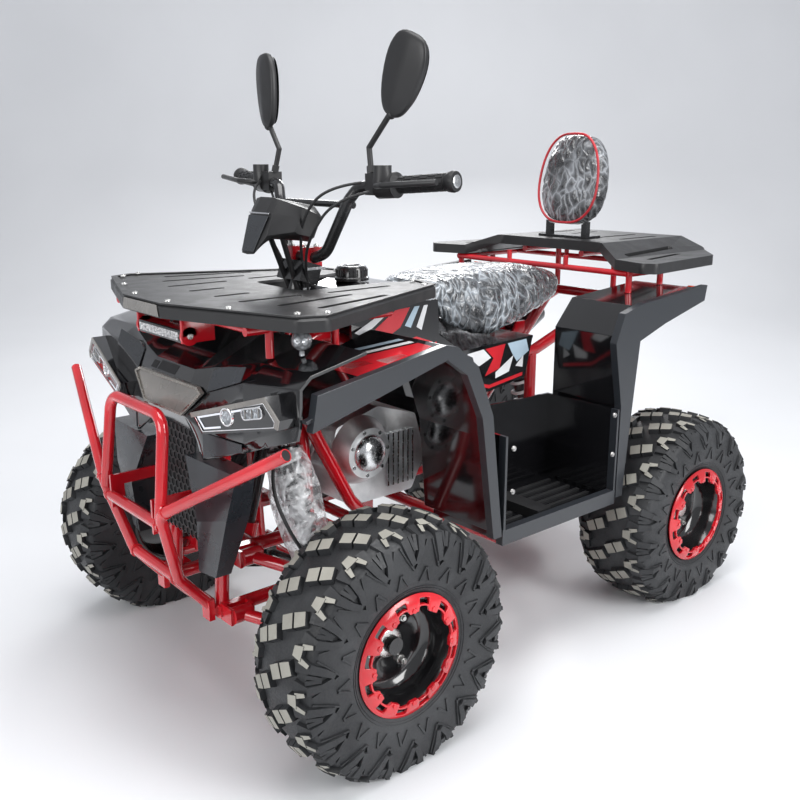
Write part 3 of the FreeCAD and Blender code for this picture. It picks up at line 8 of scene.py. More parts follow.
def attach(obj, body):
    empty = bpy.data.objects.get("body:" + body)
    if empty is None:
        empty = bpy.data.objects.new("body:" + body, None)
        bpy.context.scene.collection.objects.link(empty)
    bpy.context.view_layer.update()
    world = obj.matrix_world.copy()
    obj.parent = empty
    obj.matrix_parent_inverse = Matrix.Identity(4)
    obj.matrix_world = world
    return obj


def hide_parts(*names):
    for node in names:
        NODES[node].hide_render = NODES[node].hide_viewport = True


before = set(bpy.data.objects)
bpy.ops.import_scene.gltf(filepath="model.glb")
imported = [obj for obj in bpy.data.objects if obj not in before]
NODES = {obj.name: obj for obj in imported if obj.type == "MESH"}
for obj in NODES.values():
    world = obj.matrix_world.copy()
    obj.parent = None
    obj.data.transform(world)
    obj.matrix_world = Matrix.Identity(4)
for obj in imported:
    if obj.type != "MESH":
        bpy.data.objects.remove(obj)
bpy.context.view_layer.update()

bl_info = {
    "name": "Quad Bike",
    "version": (1, 0, 0),
    "blender": (4, 5, 0),
    "location": "3D View > Sidebar > Quad Bike",
    "description": "Dresses the CAD frame of a quad bike with its finished pieces and materials",
    "category": "Object",
}

X_DIR = Vector((1, 0, 0))
Y_DIR = Vector((0, 1, 0))
Z_DIR = Vector((0, 0, 1))
SIDES = {"left": 1, "right": -1}
FULL_TURN = 2 * math.pi
FRONT_HUB = (424.7, -482, 241.5)
REAR_HUB = (357, 482, 239)
BEAD_RADIUS = 0.1033
LUG_HEIGHT = 0.012
SWELL_FRAMES = 20


def mm(x, y, z):
    """A point given in millimetres, in metres."""
    return Vector((x, y, z)) / 1000


def hub_at(hub, side):
    """The middle of a wheel on one side, from its place on the left."""
    return mm(side * hub[0], hub[1], hub[2])


# Materials

def shader(name, colour, roughness=0.4, metallic=0.0, coat=0.0, coat_roughness=0.08, specular=0.5):
    """A new material and its Principled shader, with the object's own coordinates."""
    material = bpy.data.materials.new(name)
    material.use_nodes = True
    tree = material.node_tree
    surface = tree.nodes["Principled BSDF"]
    surface.inputs["Base Color"].default_value = (*colour, 1)
    surface.inputs["Roughness"].default_value = roughness
    surface.inputs["Metallic"].default_value = metallic
    surface.inputs["Coat Weight"].default_value = coat
    surface.inputs["Coat Roughness"].default_value = coat_roughness
    surface.inputs["Specular IOR Level"].default_value = specular
    place = tree.nodes.new("ShaderNodeTexCoord")
    place.name = "Place"
    return material, tree, surface


def noise_texture(tree, scale, detail=3.0, distortion=0.0, stretch=None):
    """A noise on the object's own coordinates, stretched along its axes if asked."""
    texture = tree.nodes.new("ShaderNodeTexNoise")
    texture.inputs["Scale"].default_value = scale
    texture.inputs["Detail"].default_value = detail
    texture.inputs["Distortion"].default_value = distortion
    source = tree.nodes["Place"].outputs["Object"]
    if stretch:
        mapping = tree.nodes.new("ShaderNodeMapping")
        mapping.inputs["Scale"].default_value = stretch
        tree.links.new(source, mapping.inputs["Vector"])
        source = mapping.outputs["Vector"]
    tree.links.new(source, texture.inputs["Vector"])
    return texture


def ramp(tree, source, stops):
    """A colour ramp from (position, grey or colour) stops."""
    node = tree.nodes.new("ShaderNodeValToRGB")
    while len(node.color_ramp.elements) < len(stops):
        node.color_ramp.elements.new(1.0)
    for element, (position, value) in zip(node.color_ramp.elements, stops):
        element.position = position
        element.color = (*value, 1) if isinstance(value, tuple) else (value, value, value, 1)
    tree.links.new(source, node.inputs["Fac"])
    return node


def bump(tree, surface, source, strength, distance):
    """Adds relief from a height to whatever relief the shader has already."""
    node = tree.nodes.new("ShaderNodeBump")
    node.inputs["Strength"].default_value = strength
    node.inputs["Distance"].default_value = distance
    tree.links.new(source, node.inputs["Height"])
    socket = surface.inputs["Normal"]
    if socket.is_linked:
        tree.links.new(socket.links[0].from_socket, node.inputs["Normal"])
    tree.links.new(node.outputs["Normal"], socket)
    return node


def shaded(colour, factor):
    return tuple(min(channel * factor, 1.0) for channel in colour)


def moulded(name, colour, roughness, coat=0.0, grain=900, relief=0.25, depth=0.0003, spread=0.08):
    """A moulded or painted skin: fine grain, uneven gloss and a slight change of tone."""
    material, tree, surface = shader(name, colour, roughness, coat=coat)
    tone = noise_texture(tree, 6, 4)
    shades = ramp(tree, tone.outputs["Fac"], [(0.3, shaded(colour, 0.75)), (0.7, shaded(colour, 1.25))])
    tree.links.new(shades.outputs["Color"], surface.inputs["Base Color"])
    smudge = noise_texture(tree, 22, 5, 0.4)
    low, high = max(roughness - spread, 0.03), roughness + spread
    gloss = ramp(tree, smudge.outputs["Fac"], [(0.3, low), (0.75, high)])
    tree.links.new(gloss.outputs["Color"], surface.inputs["Roughness"])
    grains = noise_texture(tree, grain, 2)
    bump(tree, surface, grains.outputs["Fac"], relief, depth)
    return material


def metal(name, colour, roughness, relief=0.2, grain=400, stretch=None, spread=0.1):
    """Bare metal with casting or brushing marks."""
    material, tree, surface = shader(name, colour, roughness, metallic=1.0)
    tone = noise_texture(tree, 18, 5)
    shades = ramp(tree, tone.outputs["Fac"], [(0.25, shaded(colour, 0.7)), (0.75, shaded(colour, 1.15))])
    tree.links.new(shades.outputs["Color"], surface.inputs["Base Color"])
    marks = noise_texture(tree, grain, 4, 0, stretch)
    low, high = max(roughness - spread, 0.04), roughness + spread
    gloss = ramp(tree, marks.outputs["Fac"], [(0.3, low), (0.7, high)])
    tree.links.new(gloss.outputs["Color"], surface.inputs["Roughness"])
    bump(tree, surface, marks.outputs["Fac"], relief, 0.0004)
    return material


def rubber(name, colour, roughness, dust):
    """Tyre rubber with pale dust in soft patches and a fine moulded skin."""
    material, tree, surface = shader(name, colour, roughness)
    patches = noise_texture(tree, 9, 6, 0.6)
    shades = ramp(tree, patches.outputs["Fac"], [(0.42, colour), (0.75, dust)])
    tree.links.new(shades.outputs["Color"], surface.inputs["Base Color"])
    specks = noise_texture(tree, 260, 3)
    gloss = ramp(tree, specks.outputs["Fac"], [(0.3, roughness - 0.08), (0.7, roughness + 0.15)])
    tree.links.new(gloss.outputs["Color"], surface.inputs["Roughness"])
    bump(tree, surface, specks.outputs["Fac"], 0.25, 0.0004)
    return material


def folds(tree, scale, warp, stretch):
    """How far a place is from the folds of crumpled film: bent cells that are long one way."""
    bend = noise_texture(tree, scale * 0.4, 3)
    shift = tree.nodes.new("ShaderNodeVectorMath")
    shift.operation = "MULTIPLY_ADD"
    shift.inputs[1].default_value = (warp, warp, warp)
    tree.links.new(bend.outputs["Color"], shift.inputs[0])
    tree.links.new(tree.nodes["Place"].outputs["Object"], shift.inputs[2])
    mapping = tree.nodes.new("ShaderNodeMapping")
    mapping.inputs["Scale"].default_value = stretch
    tree.links.new(shift.outputs["Vector"], mapping.inputs["Vector"])
    cells = tree.nodes.new("ShaderNodeTexVoronoi")
    cells.feature = "DISTANCE_TO_EDGE"
    cells.inputs["Scale"].default_value = scale
    tree.links.new(mapping.outputs["Vector"], cells.inputs["Vector"])
    return cells.outputs["Distance"]


def mixed(tree, kind, factor, first, second):
    """A mix of two colours or two values by a factor; each is a socket or a plain value."""
    node = tree.nodes.new("ShaderNodeMix")
    node.data_type = kind
    sockets = {"RGBA": (6, 7, 2), "FLOAT": (2, 3, 0)}[kind]
    tree.links.new(factor, node.inputs[0])
    for index, value in zip(sockets, (first, second)):
        if isinstance(value, bpy.types.NodeSocket):
            tree.links.new(value, node.inputs[index])
        else:
            node.inputs[index].default_value = (*value, 1) if kind == "RGBA" else value
    return node.outputs[sockets[2]]


def product(tree, first, second):
    node = tree.nodes.new("ShaderNodeMath")
    node.operation = "MULTIPLY"
    tree.links.new(first, node.inputs[0])
    tree.links.new(second, node.inputs[1])
    return node.outputs[0]


def wrapped_vinyl(name, colour, film, stretch):
    """Black vinyl under crinkled clear film: the folds are pale streaks with dark gaps between, partly the
    film's milky whitening and partly painted highlight.
    """
    material, tree, surface = shader(name, colour, 0.26, coat=1.0, coat_roughness=0.06)
    long_folds = folds(tree, 24, 0.10, stretch)
    short_folds = folds(tree, 62, 0.05, stretch)
    # Pale streaks and hairs along the folds: partly milky film, partly painted highlight.
    streaks = ramp(tree, long_folds, [(0.0, 1.0), (0.07, 0.50), (0.22, 0.10), (0.45, 0.02)])
    hairs = ramp(tree, short_folds, [(0.0, 0.40), (0.05, 0.10), (0.13, 0.0)])
    patches = noise_texture(tree, 7, 3)
    gate = ramp(tree, patches.outputs["Fac"], [(0.40, 0.12), (0.62, 1.0)])
    film_and_sheen = tree.nodes.new("ShaderNodeMath")
    film_and_sheen.operation = "MAXIMUM"
    tree.links.new(product(tree, streaks.outputs["Color"], gate.outputs["Color"]), film_and_sheen.inputs[0])
    tree.links.new(product(tree, hairs.outputs["Color"], gate.outputs["Color"]), film_and_sheen.inputs[1])
    # The film colour mixed in here is partly the film's own milky tone and partly painted highlight.
    tree.links.new(mixed(tree, "RGBA", film_and_sheen.outputs[0], colour, film), surface.inputs["Base Color"])
    crinkle = bump(tree, surface, long_folds, 0.8, 0.012)
    fine = bump(tree, surface, short_folds, 0.6, 0.004)
    tree.links.new(fine.outputs["Normal"], surface.inputs["Coat Normal"])
    tree.links.new(crinkle.outputs["Normal"], surface.inputs["Normal"])
    return material


def banded(name, inner, outer, edge):
    """Gloss black near the middle plane and a satin tone beyond a distance from it."""
    material = moulded(name, inner, 0.10, coat=1.0, grain=140, relief=0.03, spread=0.04)
    tree = material.node_tree
    surface = tree.nodes["Principled BSDF"]
    split = tree.nodes.new("ShaderNodeSeparateXYZ")
    tree.links.new(tree.nodes["Place"].outputs["Object"], split.inputs["Vector"])
    away = tree.nodes.new("ShaderNodeMath")
    away.operation = "ABSOLUTE"
    tree.links.new(split.outputs["X"], away.inputs[0])
    beyond = tree.nodes.new("ShaderNodeMath")
    beyond.operation = "GREATER_THAN"
    beyond.inputs[1].default_value = edge
    tree.links.new(away.outputs[0], beyond.inputs[0])
    for socket, kind, value in (("Base Color", "RGBA", outer), ("Roughness", "FLOAT", 0.34)):
        target = surface.inputs[socket]
        blend = mixed(tree, kind, beyond.outputs[0], target.links[0].from_socket, value)
        tree.links.new(blend, target)
    coat = mixed(tree, "FLOAT", beyond.outputs[0], 1.0, 0.25)
    tree.links.new(coat, surface.inputs["Coat Weight"])
    return material


def bubble_film(name):
    """Clear packing film with round bubbles, which shows white where it catches light."""
    material, tree, surface = shader(name, (0.92, 0.93, 0.95), 0.15, specular=0.8)
    cells = tree.nodes.new("ShaderNodeTexVoronoi")
    cells.inputs["Scale"].default_value = 110
    tree.links.new(tree.nodes["Place"].outputs["Object"], cells.inputs["Vector"])
    bump(tree, surface, cells.outputs["Distance"], 0.9, 0.003)
    creases = noise_texture(tree, 30, 5, 1.2)
    bump(tree, surface, creases.outputs["Fac"], 0.8, 0.006)
    film_and_sheen = ramp(tree, creases.outputs["Fac"], [(0.40, 0.12), (0.60, 0.80)])
    tree.links.new(film_and_sheen.outputs["Color"], surface.inputs["Alpha"])
    return material


def clear_lens(name, colour, cells_scale):
    """A clear moulded lens with small facets over a bright reflector; each facet is painted lighter in its
    middle and darker at its edge, a painted glint and shade.
    """
    material, tree, surface = shader(name, colour, 0.12, metallic=0.35, coat=1.0, coat_roughness=0.03)
    cells = tree.nodes.new("ShaderNodeTexVoronoi")
    cells.feature = "F1"
    cells.inputs["Scale"].default_value = cells_scale
    tree.links.new(tree.nodes["Place"].outputs["Object"], cells.inputs["Vector"])
    bump(tree, surface, cells.outputs["Distance"], 0.9, 0.004)
    # Painted glints and shade: each cell lighter at its middle and darker towards its edge.
    shades = ramp(tree, cells.outputs["Distance"], [(0.1, shaded(colour, 1.2)), (0.8, shaded(colour, 0.45))])
    tree.links.new(shades.outputs["Color"], surface.inputs["Base Color"])
    return material


def glowing(name, colour, strength):
    material, tree, surface = shader(name, colour, 0.2)
    surface.inputs["Emission Color"].default_value = (*colour, 1)
    surface.inputs["Emission Strength"].default_value = strength
    mottle = noise_texture(tree, 300, 2)
    bump(tree, surface, mottle.outputs["Fac"], 0.2, 0.0005)
    return material


FINISHES = {}


def make_finishes(colours):
    """Every material of the quad bike, by a plain name."""
    red = tuple(colours.frame_red)
    black = tuple(colours.gloss_black)
    satin = tuple(colours.satin_black)
    FINISHES.update({
        "red paint": moulded("Red paint", red, 0.16, coat=1.0, grain=260, relief=0.05, spread=0.05),
        "wheel red": moulded("Wheel red", shaded(red, 1.10), 0.20, coat=0.6, grain=300, relief=0.08),
        "gloss black": moulded("Gloss black", black, 0.10, coat=1.0, grain=140, relief=0.03, spread=0.04),
        "satin black": moulded("Satin black", satin, 0.42, grain=1100, relief=0.35),
        "slate": moulded("Slate", tuple(colours.slate), 0.30, coat=0.3, grain=1000, relief=0.25),
        # Painted shade: a near-black standing in for the shade in the nose intakes, behind the grille and
        # inside the open tube ends.
        "painted shade": moulded("Painted shade", (0.008, 0.008, 0.009), 0.55, grain=700, relief=0.3),
        "bronze": moulded("Bronze lacquer", tuple(colours.lacquer), 0.26, coat=0.6, grain=1300, relief=0.12),
        "black steel": moulded("Black steel", (0.012, 0.012, 0.013), 0.26, coat=0.4, grain=500, relief=0.1),
        "rim black": moulded("Rim black", (0.010, 0.010, 0.011), 0.16, coat=0.9, grain=400, relief=0.06),
        "tyre": rubber("Tyre rubber", (0.016, 0.017, 0.019), 0.52, (0.045, 0.047, 0.050)),
        "tread top": rubber("Tread top", (0.34, 0.33, 0.29), 0.70, (0.24, 0.23, 0.20)),
        "grip rubber": rubber("Grip rubber", (0.012, 0.012, 0.013), 0.45, (0.03, 0.03, 0.032)),
        "cast alloy": metal("Cast alloy", (0.86, 0.87, 0.88), 0.44, relief=0.5, grain=300),
        "bright alloy": metal("Bright alloy", (0.78, 0.79, 0.80), 0.22, relief=0.1, grain=200),
        "zinc": metal("Zinc plate", (0.72, 0.72, 0.70), 0.28, relief=0.2, grain=500),
        "chrome": metal("Chrome", (0.88, 0.88, 0.90), 0.07, relief=0.04, grain=60, spread=0.03),
        "brake steel": metal("Brake steel", (0.45, 0.44, 0.43), 0.35, relief=0.3, grain=300),
        "spring white": moulded("Spring white", (0.82, 0.83, 0.85), 0.25, coat=0.5, grain=500, relief=0.1),
        "bubble film": bubble_film("Bubble film"),
        # The pale second colour of each wrap is partly milky film and partly painted highlight along its
        # folds.
        "seat wrap": wrapped_vinyl("Wrapped seat vinyl", (0.012, 0.013, 0.015), (0.50, 0.55, 0.60),
                                   (1.0, 2.6, 1.3)),
        "backrest wrap": wrapped_vinyl("Wrapped backrest vinyl", (0.010, 0.010, 0.011), (0.42, 0.44, 0.47),
                                       (2.2, 1.0, 1.0)),
        "fender": banded("Fender", black, tuple(colours.slate), 0.3815),
        "piping": moulded("Red piping", (0.45, 0.02, 0.03), 0.35, grain=900, relief=0.2),
        "lamp lens": clear_lens("Lamp lens", (0.40, 0.43, 0.46), 150),
        "bar lens": clear_lens("Light bar lens", (0.86, 0.87, 0.88), 260),
        "signal lens": clear_lens("Signal lens", (0.42, 0.44, 0.46), 120),
        "bronze edge": metal("Bronze edge", (0.60, 0.56, 0.50), 0.24, relief=0.1, grain=300),
        "dark glass": moulded("Dark lamp glass", (0.004, 0.004, 0.005), 0.06, coat=1.0, grain=60,
                              relief=0.02, spread=0.02),
        "lamp ring": glowing("Lamp ring", (0.80, 0.84, 0.90), 0.12),
        "tail lens": moulded("Tail lens", (0.80, 0.10, 0.04), 0.15, coat=1.0, grain=300, relief=0.2),
        "mirror glass": metal("Mirror glass", (0.85, 0.87, 0.90), 0.03, relief=0.01, grain=20, spread=0.01),
    })
    for key, name, colour in (
        ("sticker white", "Sticker white", (0.80, 0.82, 0.85)),
        ("sticker red", "Sticker red", (0.60, 0.02, 0.03)),
        ("sticker blue", "Sticker ice", (0.45, 0.58, 0.68)),
    ):
        FINISHES[key] = moulded(name, colour, 0.18, coat=1.0, grain=500, relief=0.04)


# Mesh helpers

def rod(bm, start, end, radius, end_radius=None, sides=24):
    """A round bar, tapered if it has an end radius."""
    along = end - start
    turn = along.to_track_quat("Z", "Y").to_matrix().to_4x4()
    made = bmesh.ops.create_cone(
        bm, cap_ends=True, cap_tris=False, segments=sides, radius1=radius,
        radius2=radius if end_radius is None else end_radius, depth=along.length,
        matrix=Matrix.Translation((start + end) / 2) @ turn)
    return made["verts"]


def block(bm, low, high, turn=None):
    """A box between two corners, turned about its middle if asked."""
    size = high - low
    matrix = Matrix.Translation((low + high) / 2)
    if turn is not None:
        matrix = matrix @ turn.to_4x4()
    matrix = matrix @ Matrix.Diagonal((*size, 1))
    return bmesh.ops.create_cube(bm, size=1.0, matrix=matrix)["verts"]


def slab(bm, outline, sweep, slot=0):
    """A flat outline pulled along a vector."""
    corners = [bm.verts.new(point) for point in outline]
    face = bm.faces.new(corners)
    face.material_index = slot
    pulled = bmesh.ops.extrude_face_region(bm, geom=[face])
    moved = [item for item in pulled["geom"] if isinstance(item, bmesh.types.BMVert)]
    bmesh.ops.translate(bm, verts=moved, vec=sweep)
    for vert in moved:
        for side in vert.link_faces:
            side.material_index = slot
    return moved


def lathe(bm, section, centre, axis, aside, steps=64, closed=True):
    """A body of revolution from (along, radius) points of its section."""
    verts = [bm.verts.new(centre + axis * along + aside * radius) for along, radius in section]
    edges = [bm.edges.new(pair) for pair in zip(verts, verts[1:])]
    if closed:
        edges.append(bm.edges.new((verts[-1], verts[0])))
    bmesh.ops.spin(bm, geom=verts + edges, cent=centre, axis=axis, angle=FULL_TURN, steps=steps,
                   use_merge=True)


def screw_head(bm, point, out, radius, height=0.003, sides=20):
    """A low screw head with a small hexagon on it."""
    rod(bm, point, point + out * height, radius, radius * 0.82, sides)
    rod(bm, point + out * height, point + out * height * 1.3, radius * 0.5, radius * 0.45, 6)


def add_mirrored(bm):
    """The same geometry on the other side of the middle plane too."""
    made = bmesh.ops.duplicate(bm, geom=bm.verts[:] + bm.edges[:] + bm.faces[:])
    verts = [item for item in made["geom"] if isinstance(item, bmesh.types.BMVert)]
    faces = [item for item in made["geom"] if isinstance(item, bmesh.types.BMFace)]
    bmesh.ops.scale(bm, vec=(-1, 1, 1), verts=verts)
    bmesh.ops.reverse_faces(bm, faces=faces)


def place_piece(name, bm, body, materials, bevel=0.0, sharp=35, outward=True):
    """Turns a bmesh into a finished piece that rides on a body."""
    if outward:
        bmesh.ops.recalc_face_normals(bm, faces=bm.faces)
    mesh = bpy.data.meshes.new(name)
    bm.to_mesh(mesh)
    bm.free()
    piece = bpy.data.objects.new(name, mesh)
    bpy.context.scene.collection.objects.link(piece)
    for material in materials:
        mesh.materials.append(FINISHES[material])
    mesh.shade_smooth()
    mesh.set_sharp_from_angle(angle=math.radians(sharp))
    if bevel:
        rounding = piece.modifiers.new("Bevel", "BEVEL")
        rounding.width = bevel
        rounding.segments = 2
        rounding.limit_method = "ANGLE"
        rounding.angle_limit = math.radians(sharp)
        rounding.harden_normals = True
    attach(piece, body)
    return piece


def cable(name, points, radius, body, material, closed=False):
    """A smooth round line through the air or along a tube."""
    curve = bpy.data.curves.new(name, "CURVE")
    curve.dimensions = "3D"
    spline = curve.splines.new("NURBS")
    spline.points.add(len(points) - 1)
    for point, place in zip(spline.points, points):
        point.co = (*place, 1)
    spline.order_u = 3
    spline.use_endpoint_u = not closed
    spline.use_cyclic_u = closed
    curve.bevel_depth = radius
    curve.bevel_resolution = 4
    curve.use_fill_caps = True
    curve.resolution_u = 10
    curve.materials.append(FINISHES[material])
    piece = bpy.data.objects.new(name, curve)
    bpy.context.scene.collection.objects.link(piece)
    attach(piece, body)
    return piece


def dress(node, *finishes):
    """Gives a CAD node its finish."""
    mesh = NODES[node].data
    mesh.materials.clear()
    for finish in finishes:
        mesh.materials.append(FINISHES[finish])


def soften(node, width, angle=30):
    """Small rounded edges on a CAD node whose own edges are sharp."""
    weld = NODES[node].modifiers.new("Weld", "WELD")
    weld.merge_threshold = 0.00005
    rounding = NODES[node].modifiers.new("Bevel", "BEVEL")
    rounding.width = width
    rounding.segments = 2
    rounding.limit_method = "ANGLE"
    rounding.angle_limit = math.radians(angle)
    rounding.use_clamp_overlap = True


# Tyres

class TyreSkin:
    """The outside of a tyre: places on it are given by the way from the crown, in metres, and an angle."""

    def __init__(self, hub, outer, half, bead, lug):
        self.hub = hub
        depth = outer - bead
        points = [
            (0.0, outer - lug), (0.42 * half, outer * 0.992 - lug), (0.78 * half, outer * 0.965 - lug),
            (0.93 * half, bead + depth * 0.78), (0.985 * half - 0.002, bead + depth * 0.56),
            (0.95 * half, bead + depth * 0.28), (0.86 * half, bead + depth * 0.10), (0.78 * half, bead),
        ]
        curve = [Vector((x, r, 0)) for x, r in points]
        self.line = []
        for i in range(len(curve) - 1):
            before = curve[i - 1] if i else Vector((-curve[1].x, curve[1].y, 0))
            after = curve[i + 2] if i + 2 < len(curve) else curve[i + 1] * 2 - curve[i]
            for step in range(6):
                t = step / 6
                p0, p1, p2, p3 = before, curve[i], curve[i + 1], after
                self.line.append(0.5 * (2 * p1 + (p2 - p0) * t + (2 * p0 - 5 * p1 + 4 * p2 - p3) * t * t
                                        + (3 * p1 - p0 - 3 * p2 + p3) * t ** 3))
        self.line.append(curve[-1])
        self.ways = [0.0]
        for a, b in zip(self.line, self.line[1:]):
            self.ways.append(self.ways[-1] + (b - a).length)
        self.length = self.ways[-1]

    def section(self, way):
        """(x, radius) and the outward normal at a way from the crown."""
        way = min(max(way, 0.0), self.length - 1e-6)
        i = max(k for k, w in enumerate(self.ways[:-1]) if w <= way)
        share = (way - self.ways[i]) / (self.ways[i + 1] - self.ways[i])
        point = self.line[i].lerp(self.line[i + 1], share)
        along = (self.line[i + 1] - self.line[i]).normalized()
        return point, Vector((-along.y, along.x, 0))

    def at(self, side, way, angle):
        point, normal = self.section(way)
        out = Vector((0, math.sin(angle), math.cos(angle)))
        place = self.hub + X_DIR * side * point.x + out * point.y
        return place, (X_DIR * side * normal.x + out * normal.y).normalized()


def ridge(bm, skin, side, path, height, slot, draft=0.18, root=0.0015):
    """A raised bar on a tyre along (way, angle, width) points: strips pulled out from the skin."""
    rows = []
    for i, (way, angle, width) in enumerate(path):
        before = path[max(i - 1, 0)]
        after = path[min(i + 1, len(path) - 1)]
        start, _ = skin.at(side, before[0], before[1])
        end, _ = skin.at(side, after[0], after[1])
        centre, normal = skin.at(side, way, angle)
        aside = (end - start).cross(normal).normalized() * (width / 2)
        row = []
        for sign in (-1, 1):
            vert = bm.verts.new(centre + aside * sign - normal * root)
            row.append((vert, normal, centre))
        rows.append(row)
    faces = [bm.faces.new((a[0][0], a[1][0], b[1][0], b[0][0])) for a, b in zip(rows, rows[1:])]
    known = {entry[0]: (entry[1], entry[2]) for row in rows for entry in row}
    starts = {tuple(vert.co): known[vert] for vert in known}
    pulled = bmesh.ops.extrude_face_region(bm, geom=faces, use_keep_orig=True)
    for item in pulled["geom"]:
        if isinstance(item, bmesh.types.BMVert):
            normal, centre = starts[tuple(item.co)]
            item.co += normal * (height + root)
            inward = centre - item.co
            item.co += (inward - normal * inward.dot(normal)) * draft
        elif isinstance(item, bmesh.types.BMFace):
            item.material_index = slot


def tread(bm, skin, pitches):
    """The lugs of one tyre: split crown blocks, notched shoulder blocks and V ridges down the wall."""
    pitch = FULL_TURN / pitches
    unit = skin.length / 0.232
    for k in range(pitches):
        for side in (1, -1):
            a = pitch * (k + (0.0 if side > 0 else 0.5))
            lean = pitch * 0.17 * side
            ways = (0.004, 0.027, 0.031, 0.054)
            turns = [a + lean * (w / 0.03 - 1) for w in ways]
            w = [way * unit for way in ways]
            ridge(bm, skin, side, [(w[0], turns[0], 0.029), (w[1], turns[1], 0.030)], 0.012, 1)
            ridge(bm, skin, side, [(w[2], turns[2], 0.030), (w[3], turns[3], 0.027)], 0.012, 1)
            b = a + pitch * 0.5
            ridge(bm, skin, side, [(0.052 * unit, b, 0.020), (0.072 * unit, b, 0.030)], 0.011, 1)
            for way in (-1, 1):
                ridge(bm, skin, side, [
                    (0.069 * unit, b + way * pitch * 0.13, 0.012),
                    (0.088 * unit, b + way * pitch * 0.20, 0.008),
                ], 0.010, 1)
                ridge(bm, skin, side, [
                    (0.060 * unit, a + way * pitch * 0.20, 0.022),
                    (0.090 * unit, a + way * pitch * 0.25, 0.019),
                    (0.116 * unit, a + way * pitch * 0.18, 0.015),
                    (0.142 * unit, a + way * pitch * 0.05, 0.011),
                ], 0.0065, 0)
                ridge(bm, skin, side, [
                    (0.086 * unit, a + way * pitch * 0.07, 0.009),
                    (0.112 * unit, a + way * pitch * 0.02, 0.007),
                ], 0.006, 0)
                ridge(bm, skin, side, [
                    (0.098 * unit, a + way * pitch * 0.42, 0.0035),
                    (0.126 * unit, a + way * pitch * 0.27, 0.0035),
                    (0.156 * unit, a + way * pitch * 0.02, 0.004),
                ], 0.0035, 0)
                ridge(bm, skin, side, [
                    (0.186 * unit, b + way * pitch * 0.24, 0.004),
                    (0.156 * unit, b + way * pitch * 0.02, 0.005),
                ], 0.003, 0)


def make_tyre(name, node, body, hub, outer, half, bead, pitches):
    skin = TyreSkin(hub, outer, half, bead, LUG_HEIGHT)
    bm = bmesh.new()
    right = [(p.x, p.y) for p in skin.line]
    section = right + [(-x, r) for x, r in right[-1:0:-1]]
    lathe(bm, section, hub, X_DIR, Z_DIR, steps=96)
    for radius, width in ((0.42, 0.0025), (0.34, 0.002)):
        for side in (1, -1):
            way = skin.length * (1 - radius * 0.32)
            rows = [(way, FULL_TURN * i / 48, width) for i in range(49)]
            ridge(bm, skin, side, rows, 0.0012, 0)
    tread(bm, skin, pitches)
    bmesh.ops.recalc_face_normals(bm, faces=bm.faces)
    piece = place_piece(name, bm, body, ["tyre", "tread top"], sharp=32, outward=False)
    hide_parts(*([node] if node else []))
    return piece


# Wheels

def ring_sector(bm, hub, side, face_x, inner, outer, sectors):
    """The toothed ring bolted on a rim: one sector with a window and a tooth, repeated round."""
    radial, around = 6, 14
    made = bmesh.ops.create_grid(bm, x_segments=around, y_segments=radial, size=0.5)
    verts = made["verts"]
    step = FULL_TURN / sectors
    windows = []
    for vert in verts:
        share = vert.co.x + 0.5
        up = vert.co.y + 0.5
        tooth = 0.5 + 0.5 * math.cos(FULL_TURN * share)
        tooth = min(max((tooth - 0.35) / 0.2, 0.0), 1.0)
        low = inner + (1 - tooth) * 0.008
        radius = low + (outer - low) * up
        angle = step * share
        lift = 0.0035 * tooth * (1 - up) - 0.006 * up ** 3
        aim = Vector((0, math.sin(angle), math.cos(angle)))
        vert.co = hub + X_DIR * side * (face_x + lift) + aim * radius
    bm.faces.ensure_lookup_table()
    faces = {face for vert in verts for face in vert.link_faces}
    for face in faces:
        centre = face.calc_center_median() - hub
        radius = math.hypot(centre.y, centre.z)
        share = (math.atan2(centre.y, centre.z) % FULL_TURN) / step
        level = (radius - inner) / (outer - inner)
        if 0.28 < share < 0.72 and 0.36 < level < 0.80:
            windows.append(face)
    bmesh.ops.delete(bm, geom=windows, context="FACES")


